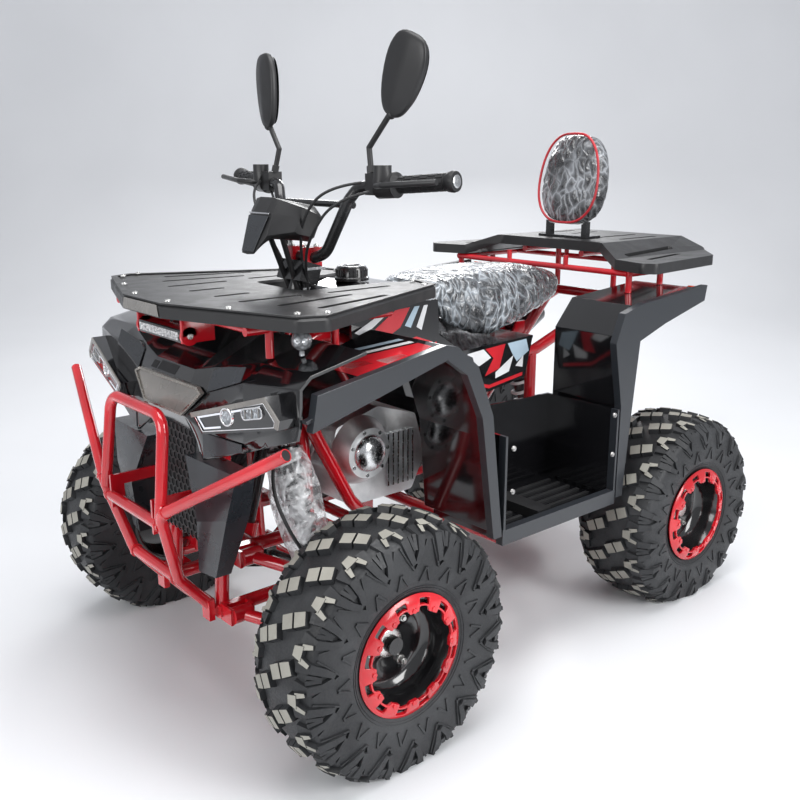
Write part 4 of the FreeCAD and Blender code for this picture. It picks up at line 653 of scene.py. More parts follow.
def make_wheel(name, node, body, hub, side, half, replaced=True):
    """A dished black rim with its red toothed ring, a hub washer and three nuts."""
    face_x = half + 0.003
    bm = bmesh.new()
    ring_sector(bm, hub, side, face_x + 0.006, 0.084, 0.1145, 12)
    sector = bm.verts[:] + bm.edges[:] + bm.faces[:]
    for i in range(1, 12):
        copy = bmesh.ops.duplicate(bm, geom=sector)
        verts = [item for item in copy["geom"] if isinstance(item, bmesh.types.BMVert)]
        bmesh.ops.rotate(bm, cent=hub, matrix=Matrix.Rotation(-FULL_TURN * i / 12, 3, "X"), verts=verts)
    bmesh.ops.remove_doubles(bm, verts=bm.verts, dist=0.0002)
    bmesh.ops.recalc_face_normals(bm, faces=bm.faces)
    bmesh.ops.solidify(bm, geom=bm.faces[:], thickness=0.007)
    out = X_DIR * side
    for i in range(12):
        angle = FULL_TURN * i / 12
        aim = Vector((0, math.sin(angle), math.cos(angle)))
        foot = hub + out * (face_x + 0.004) + aim * 0.0885
        rod(bm, foot, foot + out * 0.007, 0.0055, 0.005, 12)
    ring = place_piece(f"{name}_ring", bm, body, ["wheel red"], bevel=0.0012)

    bm = bmesh.new()
    rim_radius = 0.103
    depth = half - 0.058
    section = [
        (half + 0.002, rim_radius + 0.007), (half + 0.002, rim_radius - 0.001),
        (half - 0.006, rim_radius - 0.005),
        (half - 0.020, 0.094), (depth + 0.030, 0.092), (depth + 0.012, 0.088), (depth + 0.004, 0.078),
        (depth + 0.001, 0.066), (depth, 0.036), (depth + 0.003, 0.030), (depth + 0.003, 0.0125),
        (depth - 0.006, 0.0125), (depth - 0.006, 0.076), (depth - 0.010, 0.093), (-half + 0.020, 0.093),
        (-half + 0.004, rim_radius - 0.003), (-half, rim_radius + 0.007),
        (-half - 0.002, rim_radius + 0.007),
        (-half - 0.002, rim_radius + 0.001), (-half + 0.010, rim_radius), (half - 0.010, rim_radius),
        (half - 0.002, rim_radius + 0.002),
    ]
    lathe(bm, section, hub, out, Z_DIR, steps=72)
    rim = place_piece(f"{name}_rim", bm, body, ["rim black"], sharp=40)

    bm = bmesh.new()
    seat = hub + out * (depth + 0.003)
    washer = [(0, 0.027), (0.0015, 0.027), (0.003, 0.024), (0.003, 0.013), (0, 0.013)]
    lathe(bm, washer, seat, out, Z_DIR, 48)
    for i in range(3):
        angle = FULL_TURN * (i / 3) + 0.5
        aim = Vector((0, math.sin(angle), math.cos(angle))) * 0.050
        foot = hub + out * depth + aim
        rod(bm, foot, foot + out * 0.004, 0.010, 0.009, 24)
        rod(bm, foot + out * 0.004, foot + out * 0.013, 0.0075, 0.007, 6)
        rod(bm, foot + out * 0.013, foot + out * 0.017, 0.0045, 0.004, 16)
    hardware = place_piece(f"{name}_hardware", bm, body, ["zinc"], bevel=0.0005)
    if replaced:
        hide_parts(node)
    return ring, rim, hardware


# Soft goods

def shaped_block(bm, cuts, shape):
    """A closed block with many faces whose every point a function puts in place."""
    bmesh.ops.create_cube(bm, size=2.0)
    bmesh.ops.subdivide_edges(bm, edges=bm.edges[:], cuts=cuts, use_grid_fill=True)
    for vert in bm.verts:
        vert.co = shape(vert.co.copy())


def rounded(point, power):
    """A point of the unit cube moved onto a soft-cornered block."""
    length = (abs(point.x) ** power + abs(point.y) ** power + abs(point.z) ** power) ** (1 / power)
    return point / length


def puffed(piece, voxel, pressure, cap):
    """Lets a closed pad swell as cloth does, each point by the cap at most, and keeps that shape."""
    depsgraph = bpy.context.evaluated_depsgraph_get()
    remesh = piece.modifiers.new("Remesh", "REMESH")
    remesh.mode = "VOXEL"
    remesh.voxel_size = voxel
    depsgraph.update()
    dense = bpy.data.meshes.new_from_object(piece.evaluated_get(depsgraph))
    piece.modifiers.clear()
    materials = [slot.material for slot in piece.material_slots]
    piece.data = dense
    if not piece.data.materials:
        for material in materials:
            piece.data.materials.append(material)
    before = [vertex.co.copy() for vertex in piece.data.vertices]
    cloth = piece.modifiers.new("Cloth", "CLOTH")
    cloth.settings.use_pressure = True
    cloth.settings.uniform_pressure_force = pressure
    cloth.settings.effector_weights.gravity = 0
    scene = bpy.context.scene
    for step in range(1, SWELL_FRAMES + 1):
        scene.frame_set(step)
    swollen = bpy.data.meshes.new_from_object(piece.evaluated_get(bpy.context.evaluated_depsgraph_get()))
    piece.modifiers.clear()
    for vertex, start in zip(swollen.vertices, before):
        move = vertex.co - start
        if move.length > cap:
            vertex.co = start + move.normalized() * cap
    piece.data = swollen
    scene.frame_set(1)
    piece.data.shade_smooth()


def crease(piece, scale, depth, stretch):
    """Presses long shallow folds into a soft piece's own surface."""
    mesh = piece.data
    for vertex in mesh.vertices:
        place = Vector((vertex.co.x * stretch.x, vertex.co.y * stretch.y, vertex.co.z * stretch.z)) * scale
        warp = noise.noise_vector(place * 0.6) * 0.8
        height = 1 - abs(noise.noise(place + warp)) * 2.4
        vertex.co += vertex.normal * depth * height


def facing(a, b, c):
    """Places on the plane through three points: from x, z and a lift off its front, in millimetres."""
    first, second, third = (Vector(point) for point in (a, b, c))
    normal = (second - first).cross(third - first).normalized()
    if normal.y > 0:
        normal = -normal

    def place(x, z, lift):
        y = first.y - (normal.x * (x - first.x) + normal.z * (z - first.z)) / normal.y
        return mm(x, y, z) + normal * lift / 1000

    return place


def beside(x):
    """Places on an upright plane at one side: from y, z and a lift outwards, in millimetres."""
    return lambda y, z, lift: mm(x + lift, y, z)


def above(z):
    """Places on a level plane: from x, y and a lift upwards, in millimetres."""
    return lambda x, y, lift: mm(x, y, z + lift)


def panel(bm, corners, place, low, high, slot=0):
    """A flat plate of any outline on a plane, between two heights off it."""
    base = [place(*corner, low) for corner in corners]
    slab(bm, base, place(*corners[0], high) - base[0], slot)


def band(bm, corners, width, place, low, high, slot=0, closed=True):
    """A flat strip along the left of an outline's way round, between two heights off a plane."""
    flat = [Vector(corner) for corner in corners]
    ways = [(b - a).normalized() for a, b in zip(flat, flat[1:] + flat[:1])]
    if not closed:
        ways[-1] = ways[-2]
    inner = []
    for i, corner in enumerate(flat):
        before = ways[i - 1] if closed or i else ways[0]
        first = Vector((-before.y, before.x))
        second = Vector((-ways[i].y, ways[i].x))
        inner.append(corner + (first + second) * width / (1 + first.dot(second)))
    for i in range(len(flat) if closed else len(flat) - 1):
        k = (i + 1) % len(flat)
        panel(bm, [tuple(point) for point in (flat[i], flat[k], inner[k], inner[i])], place, low, high, slot)


def rounded_outline(centre, half, radius, tilt=0):
    """A rectangle with round corners as flat points, turned by a tilt."""
    points = []
    turn = Matrix.Rotation(math.radians(tilt), 2)
    for quarter, (right, up) in enumerate(((1, 1), (-1, 1), (-1, -1), (1, -1))):
        for step in range(5):
            angle = math.radians(90 * quarter + 22.5 * step)
            corner = Vector((right * (half[0] - radius), up * (half[1] - radius)))
            corner += Vector((math.cos(angle), math.sin(angle))) * radius
            points.append(tuple(Vector(centre) + turn @ corner))
    return points


def painted(verts, slot):
    """Gives the faces of some points their material's number."""
    for vert in verts:
        for face in vert.link_faces:
            face.material_index = slot


def fastener(bm, point, out, radius, slot, height=0.003):
    """A screw head with a material of its own."""
    before = set(bm.verts)
    screw_head(bm, point, out, radius, height)
    painted(set(bm.verts) - before, slot)


def painted_lathe(bm, slot, *turning):
    """A body of revolution with a material of its own."""
    before = set(bm.verts)
    lathe(bm, *turning)
    painted(set(bm.verts) - before, slot)


# Sizes and colours that a user may change

class QuadSizes(bpy.types.PropertyGroup):
    """Sizes of the dressed pieces."""

    lug_pitches: bpy.props.IntProperty(
        name="Lugs", description="Lug groups round a tyre", default=18, min=10, max=26)
    lens_steps: bpy.props.IntProperty(
        name="Lamp cells", description="Cells of the light bar", default=12, min=4)
    seat_swell: bpy.props.FloatProperty(
        name="Seat swell", description="How far the seat's cover may puff out", default=0.008, unit="LENGTH")
    bevel: bpy.props.FloatProperty(
        name="Edge", description="Rounding of moulded edges", default=0.0012, unit="LENGTH")


class QuadColours(bpy.types.PropertyGroup):
    """Colours of the main finishes."""

    frame_red: bpy.props.FloatVectorProperty(
        name="Frame red", description="Tubes and wheel rings", subtype="COLOR", default=(0.56, 0.008, 0.016))
    gloss_black: bpy.props.FloatVectorProperty(
        name="Gloss black", description="Bodywork", subtype="COLOR", default=(0.006, 0.006, 0.007))
    satin_black: bpy.props.FloatVectorProperty(
        name="Satin black", description="Racks and trims", subtype="COLOR", default=(0.018, 0.018, 0.019))
    slate: bpy.props.FloatVectorProperty(
        name="Slate", description="Facets and outer bands", subtype="COLOR", default=(0.022, 0.025, 0.030))
    lacquer: bpy.props.FloatVectorProperty(
        name="Bronze lacquer", description="Nose plate", subtype="COLOR", default=(0.20, 0.19, 0.175))


# Operators

class QUAD_OT_stage(bpy.types.Operator):
    """A pale studio floor that curves up behind, soft lights and the camera."""

    bl_idname = "quad.stage"
    bl_label = "Studio"

    def execute(self, context):
        bm = bmesh.new()
        profile = [(-9.0, 0.0), (2.6, 0.0), (3.6, 0.25), (4.3, 1.0), (4.5, 2.2), (4.5, 7.0)]
        away = Vector((-0.76, 0.65, 0))
        across = Vector((0.65, 0.76, 0))
        rows = []
        for reach, height in profile:
            middle = away * reach + Z_DIR * height
            rows.append([bm.verts.new(middle - across * 12), bm.verts.new(middle + across * 12)])
        for a, b in zip(rows, rows[1:]):
            bm.faces.new((a[0], a[1], b[1], b[0]))
        mesh = bpy.data.meshes.new("Floor")
        bm.to_mesh(mesh)
        bm.free()
        floor = bpy.data.objects.new("Floor", mesh)
        context.scene.collection.objects.link(floor)
        smooth = floor.modifiers.new("Subdivision", "SUBSURF")
        smooth.levels = 3
        smooth.render_levels = 3
        mesh.shade_smooth()
        material, tree, surface = shader("Studio floor", (0.78, 0.79, 0.81), 0.35, specular=0.3)
        cloud = noise_texture(tree, 1.2, 2)
        tones = ramp(tree, cloud.outputs["Fac"], [(0.3, (0.76, 0.77, 0.79)), (0.7, (0.80, 0.81, 0.83))])
        tree.links.new(tones.outputs["Color"], surface.inputs["Base Color"])
        mesh.materials.append(material)

        world = bpy.data.worlds.new("Studio")
        world.use_nodes = True
        world.node_tree.nodes["Background"].inputs["Color"].default_value = (0.93, 0.95, 1.0, 1)
        world.node_tree.nodes["Background"].inputs["Strength"].default_value = 0.50
        context.scene.world = world
        lamps = (
            ("Top softbox", (0.4, -0.2, 3.2), (0, 0, 0.4), 2.6, 1.6, 70),
            ("Left softbox", (3.2, 0.6, 1.9), (0, 0, 0.5), 1.2, 2.4, 80),
            ("Front softbox", (0.6, -3.4, 1.6), (0, -0.3, 0.5), 2.2, 1.4, 45),
            ("Back strip", (-2.6, 2.2, 2.4), (0, 0, 0.6), 2.2, 0.8, 60),
        )
        for name, place, aim, width, height, power in lamps:
            light = bpy.data.lights.new(name, "AREA")
            light.shape = "RECTANGLE"
            light.size = width
            light.size_y = height
            light.energy = power
            lamp = bpy.data.objects.new(name, light)
            lamp.location = place
            lamp.rotation_euler = (Vector(aim) - Vector(place)).to_track_quat("-Z", "Y").to_euler()
            context.scene.collection.objects.link(lamp)

        camera = bpy.data.cameras.new("Camera")
        camera.lens = 41.59
        camera.sensor_width = 36
        camera.shift_x = 0.0023
        camera.shift_y = -0.00105
        viewer = bpy.data.objects.new("Camera", camera)
        viewer.location = (1.57452, -1.43252, 1.07291)
        viewer.rotation_euler = (math.radians(75.44), 0, math.radians(49.46))
        context.scene.collection.objects.link(viewer)
        context.scene.camera = viewer
        context.scene.view_settings.view_transform = "Standard"
        context.scene.view_settings.look = "None"
        return {"FINISHED"}


class QUAD_OT_finishes(bpy.types.Operator):
    """Makes the materials and gives each CAD node its own."""

    bl_idname = "quad.finishes"
    bl_label = "Finishes"

    def execute(self, context):
        make_finishes(context.scene.quad_colours)
        dressing = {
            "red paint": ["frame", "bumper", "rack_mounts", "front_arms_left",
                          "front_arms_right", "swingarm"],
            "black steel": ["knuckle_left", "knuckle_right", "tie_rod_left", "tie_rod_right", "handlebar",
                            "steering_column", "exhaust", "backrest_bracket"],
            "zinc": ["rear_axle", "front_shocks", "rear_shock"],
            "tyre": ["front_tyre_left", "front_tyre_right", "rear_tyres"],
            "rim black": ["front_rim_left", "front_rim_right", "rear_rims"],
            "satin black": ["front_rack", "rear_rack", "controls", "mirrors", "foot_pegs", "lamp_pod"],
            "slate": ["grille"],
            "gloss black": ["nose_cowl", "tank_cover"],
            "fender": ["front_fenders", "rear_fenders", "footwell_left", "footwell_right"],
            "bronze": ["nose_plate"],
            "dark glass": ["headlights"],
            "signal lens": ["turn_signals"],
            "tail lens": ["tail_lamps"],
            "cast alloy": ["engine"],
            "grip rubber": ["grips"],
            "seat wrap": ["seat"],
            "backrest wrap": ["backrest"],
        }
        for finish, nodes in dressing.items():
            for node in nodes:
                dress(node, finish)
        width = context.scene.quad_sizes.bevel
        for node in ("nose_cowl", "front_fenders", "rear_fenders", "footwell_left", "footwell_right",
                     "front_rack", "rear_rack", "tank_cover", "lamp_pod", "nose_plate", "controls"):
            soften(node, width)
        return {"FINISHED"}


class QUAD_OT_tyres(bpy.types.Operator):
    """The four lugged tyres."""

    bl_idname = "quad.tyres"
    bl_label = "Tyres"

    def execute(self, context):
        pitches = context.scene.quad_sizes.lug_pitches
        for name, side in SIDES.items():
            make_tyre(f"front_tyre_{name}_lugged", f"front_tyre_{name}", f"{name}_front_wheel",
                      hub_at(FRONT_HUB, side), 0.2415, 0.0825, BEAD_RADIUS, pitches)
        rears = [
            make_tyre(f"rear_tyre_{name}_lugged", None, "rear_wheels", hub_at(REAR_HUB, side), 0.239,
                      0.1025, BEAD_RADIUS, pitches)
            for name, side in SIDES.items()
        ]
        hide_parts("rear_tyres")
        return {"FINISHED"}


class QUAD_OT_wheels(bpy.types.Operator):
    """The rims with their red toothed rings."""

    bl_idname = "quad.wheels"
    bl_label = "Wheels"

    def execute(self, context):
        for name, side in SIDES.items():
            make_wheel(f"front_{name}", f"front_rim_{name}", f"{name}_front_wheel",
                       hub_at(FRONT_HUB, side), side, 0.070)
            make_wheel(f"rear_{name}", "rear_rims", "rear_wheels", hub_at(REAR_HUB, side), side, 0.090,
                       replaced=name == "left")
        return {"FINISHED"}


class QUAD_OT_seat(bpy.types.Operator):
    """The padded saddle under its clear wrap."""

    bl_idname = "quad.seat"
    bl_label = "Seat"

    def execute(self, context):
        top = [(-0.111, 0.805), (-0.05, 0.818), (0.05, 0.824), (0.16, 0.826), (0.28, 0.822), (0.36, 0.806),
               (0.402, 0.788)]
        low = [(-0.111, 0.795), (-0.088, 0.760), (-0.04, 0.712), (0.03, 0.682), (0.08, 0.676), (0.18, 0.695),
               (0.30, 0.730), (0.402, 0.762)]
        wide = [(-0.111, 0.085), (-0.06, 0.105), (0.02, 0.124), (0.12, 0.130), (0.24, 0.128), (0.34, 0.115),
                (0.402, 0.085)]

        def along(table, y):
            for (y0, v0), (y1, v1) in zip(table, table[1:]):
                if y <= y1:
                    return v0 + (v1 - v0) * (y - y0) / (y1 - y0)
            return table[-1][1]

        def shape(unit):
            soft = rounded(unit, 5.0)
            y = 0.1455 + soft.y * 0.2475
            y = min(max(y, -0.108), 0.398)
            share = (soft.z + 1) / 2
            crown = 1 - 0.10 * abs(soft.x) ** 2
            bottom, upper = along(low, y) + 0.004, along(top, y) - 0.006
            side_drop = 0.35 + 0.65 * min(abs(soft.x) * 1.15, 1.0) ** 2
            floor = upper - (upper - bottom) * side_drop
            z = floor + (upper - floor) * share
            return Vector((soft.x * along(wide, y), y, z - (1 - crown) * 0.12))

        bm = bmesh.new()
        shaped_block(bm, 22, shape)
        seat = place_piece("seat_pad", bm, "chassis", ["seat wrap"], sharp=180)
        puffed(seat, 0.006, 3.5, context.scene.quad_sizes.seat_swell)
        crease(seat, 16, 0.0022, Vector((1.0, 2.4, 1.2)))
        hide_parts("seat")
        return {"FINISHED"}


class QUAD_OT_backrest(bpy.types.Operator):
    """The padded backrest with red piping round its front, under its clear wrap."""

    bl_idname = "quad.backrest"
    bl_label = "Backrest"

    def execute(self, context):
        foot = mm(0, 466.6, 911.3)
        lean = Matrix.Rotation(math.radians(-8), 3, "X")

        def half_width(height):
            return 0.061 + 0.034 * math.sin(min(max(height, 0), 1) ** 0.8 * math.pi) ** 0.7

        def shape(unit):
            soft = rounded(unit, 4.0)
            height = (soft.z + 1) / 2
            place = Vector((soft.x * half_width(height), 0.037 + soft.y * 0.031, 0.004 + height * 0.224))
            return foot + lean @ place

        bm = bmesh.new()
        shaped_block(bm, 16, shape)
        pad = place_piece("backrest_pad", bm, "chassis", ["backrest wrap"], sharp=180)
        puffed(pad, 0.005, 3.0, 0.006)
        crease(pad, 26, 0.0016, Vector((1.6, 1.0, 1.0)))
        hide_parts("backrest")
        points = []
        for i in range(28):
            angle = FULL_TURN * i / 28
            unit = rounded(Vector((math.sin(angle), 0, math.cos(angle))), 4.0)
            height = (unit.z + 1) / 2
            place = Vector((unit.x * half_width(height), 0.008, 0.004 + height * 0.224))
            points.append(foot + lean @ place)
        cable("backrest_piping", points, 0.0032, "chassis", "piping", closed=True)
        return {"FINISHED"}


class QUAD_OT_shocks(bpy.types.Operator):
    """The coil springs of the dampers and the bubble film round the front ones."""

    bl_idname = "quad.shocks"
    bl_label = "Dampers"

    def execute(self, context):
        pairs = {
            "front_left": (mm(136, -501.3, 572.7), mm(234, -482, 249), True),
            "front_right": (mm(-136, -501.3, 572.7), mm(-234, -482, 249), True),
            "rear": (mm(0, 300.8, 664), mm(0, 385.6, 302.1), False),
        }
        for name, (top, foot, wrapped) in pairs.items():
            along = (foot - top).normalized()
            length = (foot - top).length
            aside = along.orthogonal().normalized()
            bm = bmesh.new()
            damper = [
                (0.010, 0.0), (0.010, 0.010), (0.034, 0.012), (0.036, 0.031), (0.043, 0.031), (0.045, 0.020),
                (length * 0.5, 0.020), (length * 0.5, 0.015), (length * 0.79, 0.015), (length * 0.80, 0.031),
                (length * 0.80 + 0.007, 0.031), (length * 0.82, 0.013),
                (length - 0.010, 0.011), (length - 0.010, 0.0),
            ]
            lathe(bm, damper, top, along, aside, 40, closed=False)
            for eye in (top, foot):
                half = (X_DIR if name == "rear" else Y_DIR) * 0.018
                rod(bm, eye - half, eye + half, 0.0145, sides=28)
            body = place_piece(f"damper_{name}", bm, "chassis", ["black steel"],
                               bevel=0.0008)
            if name == "rear":
                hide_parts("rear_shock")
            turns = 9
            points = []
            for i in range(turns * 12 + 1):
                share = i / (turns * 12)
                angle = FULL_TURN * i / 12
                reach = Quaternion(along, angle) @ aside * 0.0272
                points.append(top + along * (0.046 + (length * 0.80 - 0.050) * share) + reach)
            cable(f"spring_{name}", points, 0.0042, "chassis", "spring white")
            if wrapped:
                bm = bmesh.new()
                wrap = [(0.040, 0.034), (0.075, 0.043), (0.12, 0.050), (0.20, 0.046), (length * 0.70, 0.040),
                        (length * 0.79, 0.034)]
                lathe(bm, wrap, top, along, aside, 48, closed=False)
                bmesh.ops.subdivide_edges(bm, edges=bm.edges[:], cuts=1, use_grid_fill=True)
                for vert in bm.verts:
                    shift = noise.noise(vert.co * 38) * 0.006 + noise.noise(vert.co * 90) * 0.003
                    centre = top + along * (vert.co - top).dot(along)
                    vert.co += (vert.co - centre).normalized() * shift
                place_piece(f"bubble_wrap_{name}", bm, "chassis", ["bubble film"], sharp=180)
        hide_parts("front_shocks")
        return {"FINISHED"}


class QUAD_OT_mirrors(bpy.types.Operator):
    """Oval mirrors: satin shells with glass towards the rider."""

    bl_idname = "quad.mirrors"
    bl_label = "Mirrors"

    def execute(self, context):
        heads = {"left": (mm(218, -290, 1149.5), 25, 8, 1), "right": (mm(-193, -290, 1138.8), 3, 12, -1)}
        for name, (head, tilt, turn, side) in heads.items():
            spin = Matrix.Rotation(math.radians(tilt * side), 3, "Y")
            spin = spin @ Matrix.Rotation(math.radians(turn * side), 3, "Z")

            def shape(unit):
                soft = rounded(unit, 3.2)
                height = (soft.z + 1) / 2
                wide = 0.030 + 0.017 * math.sin(min(height * 1.15, 1.0) * math.pi * 0.62)
                thick = 0.013 * (1 - 0.45 * max(-soft.y, 0) * abs(soft.x))
                return head + spin @ Vector((soft.x * wide, soft.y * thick, height * 0.152))

            bm = bmesh.new()
            shaped_block(bm, 9, shape)
            foot = mm(side * 166, -295, 1047)
            bend = mm(side * 154, -290.2, 1094)
            rod(bm, foot, bend, 0.0055)
            rod(bm, bend, head + spin @ Vector((0, 0, 0.012)), 0.0055)
            rod(bm, foot, foot + (bend - foot) * 0.28, 0.0085, sides=6)
            bmesh.ops.create_uvsphere(bm, u_segments=20, v_segments=12, radius=0.009,
                                      matrix=Matrix.Translation(head + spin @ Vector((0, 0, 0.003))))
            bmesh.ops.create_uvsphere(bm, u_segments=20, v_segments=12, radius=0.0056,
                                      matrix=Matrix.Translation(bend))
            shell = place_piece(f"mirror_{name}_shell", bm, "steering", ["satin black"],
                                sharp=50)
            bm = bmesh.new()
            made = bmesh.ops.create_circle(bm, cap_ends=True, segments=48, radius=1.0)
            for vert in made["verts"]:
                soft = rounded(Vector((vert.co.x, 0, vert.co.y)), 3.2)
                height = (soft.z + 1) / 2
                wide = 0.030 + 0.017 * math.sin(min(height * 1.15, 1.0) * math.pi * 0.62)
                vert.co = head + spin @ Vector((soft.x * wide * 0.9, 0.0132, 0.008 + height * 0.137))
            place_piece(f"mirror_{name}_glass", bm, "steering", ["mirror glass"])
        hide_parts("mirrors")
        return {"FINISHED"}


class QUAD_OT_grips(bpy.types.Operator):
    """Block-pattern grips with a flange and a bright end."""

    bl_idname = "quad.grips"
    bl_label = "Grips"

    def execute(self, context):
        bm = bmesh.new()
        inner, outer = mm(229.4, -287.9, 1025.7), mm(358, -262.2, 1034.2)
        along = (outer - inner).normalized()
        aside = along.orthogonal().normalized()
        section = [
            (0.0, 0.0118), (0.0, 0.0235), (0.004, 0.024), (0.007, 0.019), (0.010, 0.0148), (0.118, 0.0148),
            (0.122, 0.018), (0.132, 0.0195), (0.138, 0.018), (0.138, 0.0118),
        ]
        lathe(bm, section, inner, along, aside, 48)
        for row in range(6):
            for k in range(10):
                angle = FULL_TURN * (k + 0.5 * (row % 2)) / 10
                out = Quaternion(along, angle) @ aside
                middle = inner + along * (0.020 + row * 0.0175) + out * 0.0150
                turn = Matrix((along, along.cross(out), out)).transposed()
                half = Vector((0.0075, 0.0033, 0.0011))
                block(bm, middle - half, middle + half, turn)
        add_mirrored(bm)
        grips = place_piece("bar_grips", bm, "steering", ["grip rubber"], bevel=0.0005)
        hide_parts("grips")
        bm = bmesh.new()
        tip = inner + along * 0.138
        cap = [(0, 0.0), (0.0025, 0.0), (0.0025, 0.009), (0.001, 0.0118), (0, 0.0118)]
        lathe(bm, cap, tip, along, aside, 40, closed=False)
        add_mirrored(bm)
        place_piece("bar_ends", bm, "steering", ["bright alloy"], bevel=0.0003)
        return {"FINISHED"}


class QUAD_OT_headlamps(bpy.types.Operator):
    """Headlamps with a bright line, a round and a long light and a lacquered bezel, and the light bar."""

    bl_idname = "quad.headlamps"
    bl_label = "Headlamps"

    def execute(self, context):
        on_lamp = facing((144, -689, 641), (172, -685, 606), (374, -654, 668))
        out = (on_lamp(200, 640, 1) - on_lamp(200, 640, 0)).normalized()
        bm = bmesh.new()
        band(bm, [(370, 652), (374, 668), (340, 702), (144, 641)], 9, on_lamp, 0.1, 3.0, 0, closed=False)
        band(bm, [(152, 639), (175, 611), (361, 654), (364, 664), (336, 692)], 2, on_lamp, 0.1, 1.8, 1)
        band(bm, [(328, 685), (161, 637), (180, 617), (226, 628)], 3.5, on_lamp, 0.1, 1.6, 2, closed=False)
        spot = on_lamp(243, 651, 0.1)
        ring = [(0, 0.0125), (0.0035, 0.0135), (0.0035, 0.0160), (0, 0.0175)]
        painted_lathe(bm, 1, ring, spot, out, Z_DIR, 40)
        painted(rod(bm, spot, spot + out * 0.0020, 0.0128, 0.0110, 32), 3)
        long_lamp = rounded_outline((309, 669), (27, 10.5), 8, 14)
        band(bm, long_lamp, 2.6, on_lamp, 0.1, 3.6, 1)
        panel(bm, rounded_outline((309, 669), (25, 8.5), 7, 14), on_lamp, 0.1, 2.0, 3)
        for share in (-0.34, 0.0, 0.34):
            middle = on_lamp(309 + share * 50, 669 + share * 12.5, 2.2)
            block(bm, middle - Vector((0.0012, 0.0012, 0.0075)), middle + Vector((0.0012, 0.0012, 0.0075)))
        add_mirrored(bm)
        place_piece("headlamp_lights", bm, "chassis", ["bronze", "chrome", "lamp ring", "lamp lens"],
                    bevel=0.0004)

        bm = bmesh.new()
        cells = context.scene.quad_sizes.lens_steps
        width = 0.154 / cells
        for i in range(cells):
            x = -0.077 + width * (i + 0.5)
            low = Vector((x - width * 0.45, -0.6725, 0.7575))
            block(bm, low, low + Vector((width * 0.90, 0.0030, 0.0150)))
        for side in (1, -1):
            end = mm(side * 84, -655, 765)
            painted(rod(bm, end, end + X_DIR * side * 0.007, 0.0175, sides=32), 1)
            leg = end + Vector((side * 0.0035, 0, 0.018))
            low, high = leg - Vector((0.0035, 0.014, 0.018)), leg + Vector((0.0035, 0.014, 0.0175))
            painted(block(bm, low, high), 1)
            fastener(bm, end + X_DIR * side * 0.007, X_DIR * side, 0.0065, 2)
        place_piece("light_bar_cells", bm, "chassis", ["bar lens", "red paint", "zinc"],
                    bevel=0.0008)
        return {"FINISHED"}


class QUAD_OT_nose(bpy.types.Operator):
    """Trim of the nose: the plate's bright border, facets, intakes shown by painted shade, cheeks and the
    honeycomb grille over a sheet of painted shade.
    """

    bl_idname = "quad.nose"
    bl_label = "Nose"

    def execute(self, context):
        on_plate = facing((132, -660, 667), (114, -658, 676), (-73, -674, 617))
        outline = [(-132, 667), (-73, 617), (73, 617), (132, 667), (114, 676), (-114, 676)]
        bm = bmesh.new()
        band(bm, outline, 5, on_plate, 0.1, 2.2, 0)
        lip = facing((76, -703.4, 802), (-76, -703.4, 802), (0, -703.4, 824))
        panel(bm, [(-72, 803), (72, 803), (66, 824), (-66, 824)], lip, 0.1, 1.8, 1)
        place_piece("nose_border", bm, "chassis", ["bronze edge", "bronze"], bevel=0.0006)

        bm = bmesh.new()
        upper = facing((132, -632, 712), (132, -652, 666), (248, -644, 706))
        panel(bm, [(137, 670), (243, 706), (245, 731), (160, 716), (137, 706)], upper, 0.6, 2.4, 0)
        cheek = facing((132, -663, 600), (132, -665, 544), (248, -648, 600))
        panel(bm, [(136, 549), (245, 583), (245, 597), (136, 597)], cheek, 0.3, 2.0, 0)
        add_mirrored(bm)
        brow = facing((0, -640, 700), (76, -652, 676), (0, -652, 676))
        # The two dark patches on the brow are painted shade where the intakes are.
        panel(bm, [(-58, 680), (12, 680), (20, 697), (-50, 697)], brow, 0.1, 0.5, 1)
        panel(bm, [(-86, 680), (-64, 680), (-58, 694), (-80, 694)], brow, 0.1, 0.5, 1)
        place_piece("nose_facets", bm, "chassis", ["slate", "painted shade"], bevel=0.0005)

        bm = bmesh.new()
        face = facing((0, -649.4, 400), (50, -649.4, 400), (0, -649.4, 500))
        sheet_outline = [(-110, 368), (110, 368), (76, 464), (76, 590), (-76, 590), (-76, 464)]
        # The sheet behind the honeycomb is painted shade.
        panel(bm, sheet_outline, face, 0.1, 0.9, 1)
        pitch = 17.0
        for row in range(16):
            z = 372 + row * pitch * 0.866
            reach = 76 if z > 464 else 76 + (464 - z) * 0.36
            for column in range(-8, 9):
                x = (column + 0.5 * (row % 2)) * pitch
                if abs(x) > reach - 7 or z > 584:
                    continue
                ring = [(x + pitch * 0.57 * math.sin(math.radians(60 * k)),
                         z - pitch * 0.57 * math.cos(math.radians(60 * k))) for k in range(6)]
                band(bm, ring, 1.5, face, 0.8, 3.0, 0)
        place_piece("grille_honeycomb", bm, "chassis", ["satin black", "painted shade"])
        return {"FINISHED"}


class QUAD_OT_bumper(bpy.types.Operator):
    """The bumper's open tube ends and weld beads."""

    bl_idname = "quad.bumper"
    bl_label = "Bumper"

    def execute(self, context):
        bm = bmesh.new()
        end = mm(414.8, -671.9, 624.2)
        way = Vector((0.85, 0.22, 0.48)).normalized()
        aside = way.orthogonal().normalized()
        lip = [(0.0002, 0.0110), (0.0014, 0.0105), (0.0014, 0.0092), (0.0002, 0.0090)]
        lathe(bm, lip, end, way, aside, 40)
        # A dark disc inside the open tube end: painted shade.
        painted(rod(bm, end, end + way * 0.0004, 0.0091, sides=32), 1)
        bead = [(-0.0035, 0.0112), (-0.002, 0.0135), (0.002, 0.0135), (0.0035, 0.0112)]
        for x, y, z in ((104, -745, 432), (84, -709, 309)):
            lathe(bm, bead, mm(x, y, z), X_DIR, Z_DIR, 36)
        stub = mm(132, -745, 464)
        lathe(bm, bead, stub, way, aside, 36)
        add_mirrored(bm)
        place_piece("bumper_trim", bm, "chassis", ["red paint", "painted shade"], bevel=0.0003)
        return {"FINISHED"}


